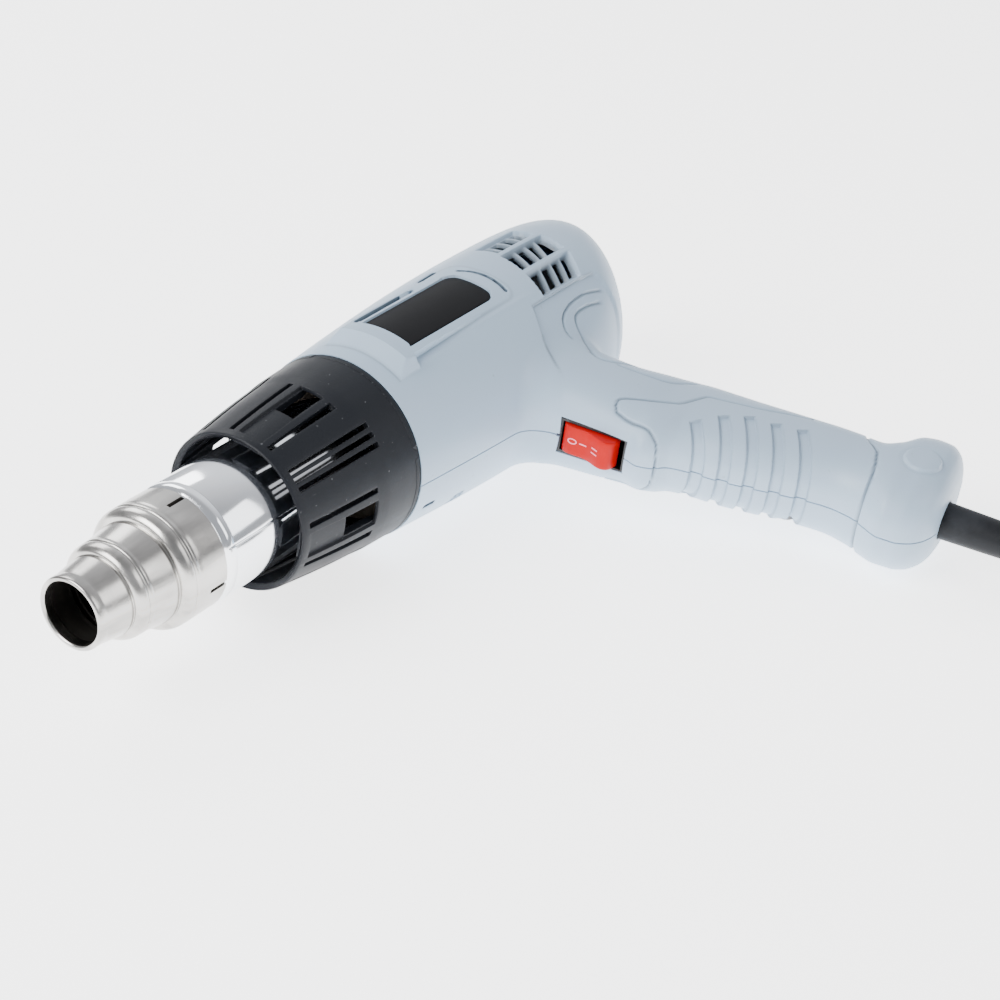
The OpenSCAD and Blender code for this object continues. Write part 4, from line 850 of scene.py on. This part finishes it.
# The handle's outline: place along it, then front, back and half width
handle_table = np.array([
    [18, 29, 14, 20], [28, 27.5, 11, 18], [36, 25.4, 9.6, 16.6], [46, 25.2, 9.8, 15.8],
    [57, 25.6, 13, 14.8], [62, 27.2, 15, 14.2], [66, 26, 15.8, 14], [70, 22.6, 16.1, 13.9],
    [76, 21.2, 16.1, 13.9], [84, 20.4, 16, 14], [92, 18.9, 16.2, 14], [100, 17, 16.5, 13.9],
    [108, 15.2, 16.5, 14], [116, 14.2, 15.8, 14.2], [123, 15.3, 14.5, 14.7], [128, 18, 18, 15.6],
    [133, 20.5, 25.7, 16.2], [137.4, 20.4, 27.2, 16.2], [141.1, 18.7, 26.9, 15.8],
    [144.1, 15.6, 24.5, 14.3], [146.1, 11.6, 20.4, 11.9], [147, 8.5, 17, 9.5],
])
handle_start, handle_end = handle_table[[0, -1], 0]


def flowing(x, xs, ys):
    """A smooth curve through a table that keeps between its neighbours: cubics whose slope at each
    point is the harmonic mean of the rises beside it, or level where those turn round."""
    gap = np.diff(xs)
    rise = np.diff(ys) / gap
    same = rise[1:] * rise[:-1] > 0
    total = np.where(same, rise[1:] + rise[:-1], 1)
    inner = np.where(same, 2 * rise[1:] * rise[:-1] / total, 0)
    slope = np.concatenate([rise[:1], inner, rise[-1:]])
    k = np.clip(np.searchsorted(xs, x, side="right") - 1, 0, len(gap) - 1)
    u = (x - xs[k]) / gap[k]
    return (
        ys[k] * (1 - u) ** 2 * (1 + 2 * u) + ys[k + 1] * u * u * (3 - 2 * u)
        + gap[k] * u * (1 - u) * (slope[k] * (1 - u) - slope[k + 1] * u)
    )


def handle_outline(s):
    """The handle's middle, half depth and half width at a place along it."""
    s = np.clip(s, handle_start, handle_end)
    front, back, half = (flowing(s, handle_table[:, 0], handle_table[:, i]) for i in (1, 2, 3))
    return (back - front) / 2, (back + front) / 2, half


def handle_place(s, turn):
    """A point of the plain handle: turn goes from the front seam (0) over the left to the back (180)
    of a superellipse, cosine and sine each raised to the power 0.8."""
    middle, deep, half = handle_outline(s)
    c, n = -np.cos(np.radians(turn)), np.sin(np.radians(turn))
    back = middle + deep * np.sign(c) * np.abs(c) ** 0.8
    return in_handle(np.clip(s, handle_start, handle_end), back, half * np.abs(n) ** 0.8)


def on_handle(x, y):
    """How far along the handle and towards its back a point lies: the reverse of in_handle."""
    s = (x - handle_root) * np.sin(handle_rake) - y * np.cos(handle_rake)
    d = (x - handle_root) * np.cos(handle_rake) + y * np.sin(handle_rake)
    return s, d


# Finger channels, each from its front to its blunt end, and the fine lines, all as (along, back)
channel_half, channel_depth = 1.6, 1.0
channel_lines = [
    ((80.2, -24.0), (73.0, -13.4)), ((87.9, -24.0), (79.4, -7.6)), ((95.6, -23.0), (86.0, -3.8)),
    ((103.2, -22.0), (93.9, -2.8)), ((110.6, -20.0), (101.5, -1.2)),
]
panel_line = [
    (51.6, -21.2), (50.5, -19.6), (50.3, -18.4), (50.9, -17.3), (52.4, -16.4), (58.5, -13.6), (65.9, -9.6),
    (67.2, -8.2), (71.4, -0.9), (72.6, -0.2), (86.9, 2.6), (101.8, 8.0), (101.4, 9.6),
]
lug_line = [
    (51.6, -21.2), (54.8, -21.9), (58.9, -22.3), (62.6, -22.9), (65.8, -24.2), (68.2, -26.5), (69, -30),
]
top_line = [(44.3, -2.9), (50.6, -2.3), (57.8, -1.4), (60.2, -0.2), (66.0, 6.0)]
ring_line = [
    (116.6, 18), (119.0, 6.4), (121.8, 2.6), (123.6, 0.0), (125.2, -7), (125.7, -12), (125.4, -17.5),
    (124.6, -24),
]
ring_depth, pad_middle, pad_r, pad_high = 0.85, (136.6, 1.0), 5.6, 0.7


def handle_side(s, turn):
    """The finished side of the handle, and its painted shade. Channels, panel lines, ring and seam sink the
    plain handle and the round pad raises it, square to the surface, which is found by differences."""
    place = handle_place(s, turn)
    x, y, z = np.moveaxis(place, -1, 0)
    d = on_handle(x, y)[1]
    channels = np.inf
    for (front_s, front_d), (end_s, end_d) in channel_lines:
        run = np.hypot(end_s - front_s, end_d - front_d)
        across = ((s - front_s) * (end_d - front_d) - (d - front_d) * (end_s - front_s)) / run
        past = ((s - front_s) * (end_s - front_s) + (d - front_d) * (end_d - front_d)) / run - run
        slant = (s - end_s) * 0.95 + (d - end_d) * 0.31
        channels = np.minimum(channels, np.maximum(np.abs(across) - channel_half, past - 0.12 * slant))
    lines = mark_of(np.minimum.reduce([to_line(s, d, line) for line in (panel_line, lug_line, top_line)]))
    ring_mark = mark_of(to_line(s, d, ring_line), 0.4)
    panel, panel_painted_shade = side_lines(x, y)
    near_root = ease((60 - s) / 10)
    pad = np.hypot(s - pad_middle[0], (d - pad_middle[1]) / 1.12)
    sink = channel_depth * ease((0.2 - channels) / 0.45) + mark_depth * lines + ring_depth * ring_mark
    sink = sink + panel * near_root - pad_high * ease((pad_r - pad) / 0.7)
    sink = sink + 0.25 * mark_of(pad - pad_r - 0.3, 0.5) + seam_groove(np.abs(z))
    # Painted shade: darker in the fine lines, the ring and the panel step, and along the channels' edges
    painted_shade = np.maximum(lines, np.maximum(ring_mark, panel_painted_shade * near_root))
    painted_shade = 0.5 * np.maximum(painted_shade, 0.6 * mark_of(channels - 0.05, 0.25))
    way_s = handle_place(s + 0.3, turn) - handle_place(s - 0.3, turn)
    way_turn = handle_place(s, np.minimum(turn + 0.8, 180)) - handle_place(s, np.maximum(turn - 0.8, 0))
    square = unit(np.cross(way_turn, way_s))
    outward = place - in_handle(s, 0 * d, 0 * d)
    square *= np.sign((square * outward).sum(-1, keepdims=True))
    square[..., 2] = np.where(z < 0.02, 0, square[..., 2])
    return place - square * sink[..., None], painted_shade


opening_from, opening_to, opening_half, half_at_front = 36.44, 57.64, 5.7, 15.6
opening_turn = np.degrees(np.arcsin((opening_half / half_at_front) ** 1.25))
handle_turn = np.concatenate([
    [0, 0.1, 0.2, 0.3, 0.45, 0.7, 1.2], np.linspace(2, opening_turn, 22),
    np.linspace(opening_turn, 100, 118)[1:], np.linspace(100, 177, 60)[1:],
    [178.6, 179.3, 179.6, 179.75, 179.88, 180],
])
handle_rows = np.unique(np.round(np.concatenate([
    np.arange(46, 70, 0.5), np.arange(70, 112, 0.33), np.arange(112, 143, 0.5),
    np.arange(143, handle_end, 0.35), [handle_end, opening_to],
]), 3))
handle_s = np.delete(handle_rows, np.flatnonzero(np.diff(handle_rows) < 0.16))


def off_barrel(point):
    """How far a point stands off the plain barrel."""
    x, y, z = np.moveaxis(point, -1, 0)
    rear_length = body_back - body_full - rear_slope * full_r * np.cos(np.arctan2(np.abs(z), -y))
    u = np.clip((x - body_full) / rear_length, 0, 0.95)
    return np.hypot(y, z) - np.where(x <= body_full, front_radius(x), rear_radius(u))


def handle_root_rows(turn):
    """Rows that leave the barrel tangent to it and turn into the handle: at every turn a parabola from a
    point on the barrel, towards the place where the handle would pierce it, to a point on the handle. Halving
    finds that place. Then come the handle's own first rows, and the painted shade of the panel step."""
    root_spread, root_steps, first_rows = 6.5, 17, 15
    low, high = np.full(turn.shape, handle_start + 0.5), np.full(turn.shape, 45.0)
    for _ in range(30):
        middle = (low + high) / 2
        outside = off_barrel(handle_place(middle, turn)) > 0
        low, high = np.where(outside, low, middle), np.where(outside, middle, high)
    pierce = handle_place(low, turn)
    foot = pierce + root_spread * unit(pierce - in_handle(low, 0 * low, 0 * low))
    outward = unit(foot * [0, 1, 1])
    foot = foot - off_barrel(foot)[..., None] * outward
    corner = pierce - ((pierce - foot) * outward).sum(-1, keepdims=True) * outward
    share = np.linspace(0, 1, root_steps)[:, None, None]
    start = np.minimum(low + root_spread, 45.5)
    bend = (1 - share) ** 2 * foot + 2 * share * (1 - share) * corner + share**2 * handle_place(start, turn)
    lift = np.maximum(0.012 - off_barrel(bend), 0) * (share[..., 0] > 0)
    outward = unit(bend * [0, 1, 1])
    bend = bend + lift[..., None] * outward
    x, y, z = np.moveaxis(bend, -1, 0)
    outward[..., 0] = np.clip((x - body_full) / 90, 0, 1)
    square = unit(bend - in_handle(30.0, 0.0, 0.0)) * share + outward * (1 - share)
    square[..., 2] = np.where(z < 0.02, 0, square[..., 2])
    panel, panel_painted_shade = side_lines(x, y)
    bend = bend - square * (panel + seam_groove(np.abs(z)))[..., None]
    rows = start + (46 - start) * (np.arange(1, first_rows) / first_rows)[:, None]
    return bend, rows, 0.5 * panel_painted_shade


def kept_faces(open_points):
    """The faces that stay: all but those whose four corners lie in an opening."""
    return ~(open_points[:-1, :-1] & open_points[1:, :-1] & open_points[1:, 1:] & open_points[:-1, 1:])


bore_line = [[113.0, 25.2], [110.2, 25.2], [body_front, 25.4], [body_front, 27.7]]
butt_hole_line = [[handle_end, 7.6], [handle_end, 6.1], [146.8, 5.85], [146.0, 5.75], [139.0, 5.75]]
handle_wall = 3.0


def housing_half(name, left, finish):
    """One half: the barrel's side behind the way in at its front, and the handle's side from its
    root to the hole in its butt. The right half is mirrored at the seam."""
    t, turn = np.meshgrid(barrel_t, barrel_turn, indexing="ij")
    free = (turn > 0) & (turn < 180) & (t < 225) & (t > body_front)
    new_t, new_turn = snapped(t, turn, left)
    t, turn = np.where(free, new_t, t), np.where(free, new_turn, turn)
    barrel, barrel_painted_shade = barrel_side(t, turn, left)
    x, y, z = np.moveaxis(barrel_place(t, turn), -1, 0)
    s, d = on_handle(x, y)
    middle, deep, half = handle_outline(s)
    across, up = np.abs(d - middle) / (deep - handle_wall), z / (half - handle_wall)
    in_grip = (across**2.5 + up**2.5 < 1) & (s > 20)
    barrel_open = (np.minimum(*side_slots(x, turn, left)) < 0.05) | in_grip
    bore = carried_round(bore_line, barrel_turn)
    barrel = np.concatenate([bore, barrel])
    barrel_open = np.concatenate([np.zeros(bore.shape[:2], bool), barrel_open])

    root, rows, root_painted_shade = handle_root_rows(handle_turn)
    rows_s = np.vstack([rows, np.repeat(handle_s[:, None], len(handle_turn), 1)])
    handle, handle_painted_shade = handle_side(rows_s, np.repeat(handle_turn[None], len(rows_s), 0))
    butt_hole = round_handle(butt_hole_line, handle_turn)
    if not left:
        handle = bored(handle, handle)
    grip = np.concatenate([root, handle, butt_hole])
    in_opening = (rows_s > opening_from - 0.35) & (rows_s < opening_to + 0.05)
    in_opening &= handle_turn < opening_turn + 0.2
    grip_open = np.zeros(grip.shape[:2], bool)
    grip_open[len(root):len(root) + len(handle)] = in_opening

    mirror = [1, 1, 1] if left else [1, 1, -1]
    sheets = [(laid(barrel * mirror), kept_faces(barrel_open)), (laid(grip * mirror), kept_faces(grip_open))]
    parts = (0 * bore[..., 0], barrel_painted_shade, root_painted_shade, handle_painted_shade, 0 * butt_hole[..., 0])
    painted_shades = np.concatenate([part.ravel() for part in parts])
    return make_piece(name, sheets, [finish], wall=0.0019, even=False, crease=30, rim=True, painted_shades=painted_shades)


shell_plastic = Finish("grey_moulding")
leather_grain = shell_plastic.noise(3000)
soft_cloud = shell_plastic.noise(28)
rub = shell_plastic.scuffs(240, 0.24, (0.5, 1.0, 1.4)) * shell_plastic.noise(34).step(0.52, 0.64)
speck = shell_plastic.noise(520, 1.0).step(0.775, 0.79)
# The painted shade attribute darkens the grooves and recesses towards dark grey; the specks and rubs are dirt
# and wear
shell_plastic.set(
    Base_Color=shell_plastic.between(
        speck * 0.16 + rub * 0.08 + shell_plastic.node("Attribute", {"attribute_name": "painted_shade"}, out=2),
        shell_plastic.between(soft_cloud, (0.325, 0.43, 0.545), (0.37, 0.48, 0.6)),
        (0.05, 0.06, 0.07),
    ),
    Roughness=0.35 + 0.1 * soft_cloud - 0.08 * rub,
    Normal=shell_plastic.bump(leather_grain, 0.000035),
)
left_half = housing_half("left_half", True, shell_plastic)
right_half = housing_half("right_half", False, shell_plastic)
for piece, node in ((left_half, "housing_left"), (right_half, "housing_right")):
    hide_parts(node)

# Side plate.
# A thin dark plate with a satin face and a soft edge, glued into the bed of the left frame. It
# is bare.
plate_from, plate_to, plate_half, plate_corner, plate_face = 126.0, 168.4, 8.3, 3.6, 31.2
plate_middle, front_nick = np.array([[147.0, 0.0]]), 0.1
bend = np.radians(np.linspace(0, 90, 9))
top_x = np.linspace(plate_from + front_nick, plate_to - plate_corner, 24)[:-1]
right_y = np.linspace(plate_half - plate_corner, plate_corner - plate_half, 10)[1:-1]
left_y = np.linspace(front_nick - plate_half, plate_half - front_nick, 14)
upper = np.vstack([
    np.stack([top_x, np.full(23, plate_half)], 1),
    [plate_to, plate_half] - plate_corner * (1 - np.stack([np.sin(bend), np.cos(bend)], 1)),
])
outline = np.vstack([
    upper, np.stack([np.full(8, plate_to), right_y], 1), upper[::-1] * [1, -1],
    np.stack([np.full(14, plate_from), left_y], 1), upper[:1],
])
# Rings of the outline, shrunk to a share of its size and let down from the face in mm
rings = [(1.0, 0.95), (1.0, 0.35), (0.996, 0.12), (0.985, 0.03), (0.97, 0.0)]
rings += [(k, 0.0) for k in (0.9, 0.8, 0.65, 0.5, 0.35, 0.2, 0.08, 0.001)]
plate_grid = np.stack([
    np.hstack([
        plate_middle + k * (outline - plate_middle),
        np.sqrt((plate_face - drop) ** 2 - (k * outline[:, 1:]) ** 2),
    ])
    for k, drop in rings
])
plate_finish = Finish("satin_plate", Specular_IOR_Level=0.08)
hairline = plate_finish.scuffs(300, 0.27, (0.3, 1.5, 1.0)) * plate_finish.noise(60).step(0.45, 0.6)
plate_finish.set(
    Base_Color=plate_finish.between(hairline * 0.5, (0.006, 0.006, 0.007), (0.07, 0.07, 0.08)),
    Roughness=0.34 + 0.12 * plate_finish.noise(90) + 0.1 * hairline,
    Normal=plate_finish.bump(plate_finish.noise(2600, 2.0), 0.00002),
)
plate = make_piece("side_plate", [(laid(plate_grid), True)], [plate_finish], crease=50)
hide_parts("badge_plate")

# Rocker switch.
# A glossy red rocker in a black frame, with three places printed in pale pink. It rests in its 0
# place, so the far end stands proud; its pins turn in the frame's side walls.
pivot_s, pivot_d, tilt = 47.04, -19.999, np.radians(-12)
rocker_half_w, rocker_half_l, rocker_high, rocker_core = 4.6, 8.6, 7.3, 1.5


def on_rocker(along, high, across):
    """A place on the rocker, measured from its pins and turned by the tilt to where it rests."""
    s = pivot_s + along * np.cos(tilt) + high * np.sin(tilt)
    d = pivot_d + along * np.sin(tilt) - high * np.cos(tilt)
    return in_handle(s, d, across)


# Its profile in shares of its half length and height: one end, the middle, the other end, below
rocker_end = np.array([
    [-1, 0.27], [-1, 0.6], [-0.975, 0.76], [-0.92, 0.87], [-0.84, 0.95], [-0.74, 0.995], [-0.64, 1.0],
    [-0.53, 0.985], [-0.3, 0.915], [-0.12, 0.868],
])
rocker_below = [[0.65, -0.07], [0.29, -0.41], [-0.29, -0.41], [-0.65, -0.07], [-1, 0.27]]
rocker_shares = np.vstack([rocker_end, [[0, 0.855]], rocker_end[::-1] * [-1, 1], rocker_below])
rocker_top = rocker_shares[1:20]
rocker_along, rocker_up = rocker_shares.T * [[rocker_half_l], [rocker_high]]
rocker_rings = [(0.001, 1.0), (0.6, 1.0), (0.93, 1.0), (0.965, 0.99), (0.99, 0.965), (1.0, 0.93)]
rocker_rings += [(1.0, 0.5), (1.0, 0.0), (1.0, -0.5)] + [(k, -w) for k, w in rocker_rings[::-1]]
rocker_grid = np.stack([
    on_rocker(k * rocker_along, rocker_core + k * (rocker_up - rocker_core), w * rocker_half_w)
    for k, w in rocker_rings
])
red_gloss = Finish("red_gloss", Specular_IOR_Level=0.14)
touched = red_gloss.noise(150)
red_gloss.set(
    Base_Color=red_gloss.between(touched, (0.4, 0.0, 0.0), (0.48, 0.001, 0.001)),
    Roughness=0.25 + 0.16 * touched,
    Normal=red_gloss.bump(red_gloss.noise(900, 2.0), 0.00003),
)
rocker = make_piece("rocker", [(laid(rocker_grid), True)], [red_gloss], body="rocker")
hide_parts("switch_rocker")
print_pink = Finish("pale_print", Roughness=0.4)
print_pink.set(Base_Color=print_pink.between(print_pink.noise(1500), (0.86, 0.22, 0.3), (0.95, 0.32, 0.4)))


def on_top(along, across, lift):
    """A place above the rocker's face, whose two halves slope to its middle: its height is read
    from the profile's top."""
    face = np.interp(along / rocker_half_l, rocker_top[:, 0], rocker_top[:, 1])
    return on_rocker(along, rocker_high * face + lift, across)


# Each mark: its shape as (along, across), then its middle along and across the face
print_lift, print_wall = 0.06, 0.00004
around = np.linspace(0, 2 * np.pi, 33)
oval = (np.array([[1.45], [1.1]]) * np.cos(around), np.array([[0.95], [0.6]]) * np.sin(around))
bar = np.meshgrid(np.linspace(-1.15, 1.15, 7), [-0.2, 0.2], indexing="ij")
mark_sheets = []
for (along, across), middle_along, middle_across in (
    (oval, -4.3, 0.0), (bar, -0.9, 0.0), (bar, 3.4, 0.75), (bar, 3.4, -0.75),
):
    grid = on_top(middle_along + along, middle_across + across, print_lift)
    mark_sheets.append((laid(grid), True))
rocker_marks = make_piece("rocker_marks", mark_sheets, [print_pink], wall=print_wall, body="rocker")

# Screws, switch frame and everything inside.
# These pieces keep their CAD shape: dark screws in their seats, the black switch body, and the
# heater, fan, motor, board, wires and clamp that show through the outlet and vents.
switch_black = Finish("switch_moulding", Base_Color=(0.012, 0.012, 0.013))
switch_black.set(
    Roughness=0.3 + 0.15 * switch_black.noise(300),
    Normal=switch_black.bump(switch_black.noise(2200), 0.00002),
)
carry_over("switch_body", switch_black)
# Each finish: its CAD nodes, dark and light colour, metallic share and mean roughness
inner_finishes = {
    "dark_screw": (["housing_screws"], (0.1, 0.1, 0.105), (0.2, 0.2, 0.2), 1.0, 0.38),
    "bright_screw": (["clamp_screws"], (0.45, 0.45, 0.43), (0.6, 0.6, 0.58), 1.0, 0.3),
    "heat_moulding": (["tube_ring"], (0.05, 0.04, 0.03), (0.09, 0.07, 0.05), 0.0, 0.7),
    "mica": (["heater_former", "heater_sleeve"], (0.38, 0.27, 0.14), (0.6, 0.47, 0.28), 0.0, 0.35),
    "heating_wire": (["heater_coil"], (0.14, 0.12, 0.11), (0.3, 0.27, 0.24), 1.0, 0.55),
    # The heater's white ceramic disc is dimmed to grey as painted shade deep inside the tube
    "painted_shade_ceramic": (["heater_disc"], (0.3, 0.28, 0.25), (0.42, 0.4, 0.36), 0.0, 0.5),
    "sensor_can": (["thermal_cutout", "motor_can"], (0.4, 0.41, 0.4), (0.58, 0.58, 0.56), 1.0, 0.4),
    "grey_guide": (["air_guide", "motor_mount"], (0.1, 0.11, 0.12), (0.15, 0.16, 0.17), 0.0, 0.55),
    "black_inner": (
        ["fan_impeller", "motor_end_cap", "motor_brushes"],
        (0.014, 0.014, 0.015), (0.03, 0.03, 0.032), 0.0, 0.5,
    ),
    "ground_steel": (["motor_shaft"], (0.5, 0.5, 0.5), (0.62, 0.62, 0.61), 1.0, 0.22),
    "core": (["armature"], (0.2, 0.1, 0.05), (0.36, 0.2, 0.11), 0.6, 0.5),
    "copper": (["commutator"], (0.55, 0.26, 0.14), (0.7, 0.38, 0.22), 1.0, 0.3),
    "ferrite": (["motor_magnets"], (0.04, 0.04, 0.043), (0.08, 0.08, 0.085), 0.0, 0.6),
    "bronze": (["motor_bushes", "switch_terminals"], (0.42, 0.28, 0.12), (0.58, 0.42, 0.2), 1.0, 0.4),
    "board": (["rectifier_board"], (0.02, 0.11, 0.05), (0.04, 0.17, 0.08), 0.0, 0.35),
    "wire_sheath": (["inner_leads"], (0.12, 0.045, 0.025), (0.19, 0.08, 0.045), 0.0, 0.45),
    "yellow_box": (["suppressor_capacitor"], (0.6, 0.4, 0.04), (0.72, 0.52, 0.08), 0.0, 0.35),
    "white_clamp": (["cord_clamp"], (0.5, 0.5, 0.46), (0.64, 0.64, 0.6), 0.0, 0.5),
}
for finish_name, (nodes, dark, light, metallic, roughness) in inner_finishes.items():
    plain = Finish(finish_name, Metallic=metallic)
    wear = plain.noise(420)
    plain.set(
        Base_Color=plain.between(wear, dark, light), Roughness=roughness - 0.08 + 0.16 * wear,
        Normal=plain.bump(plain.noise(1800, 2.0), 0.00002),
    )
    for node in nodes:
        carry_over(node, plain)

bpy.context.view_layer.update()
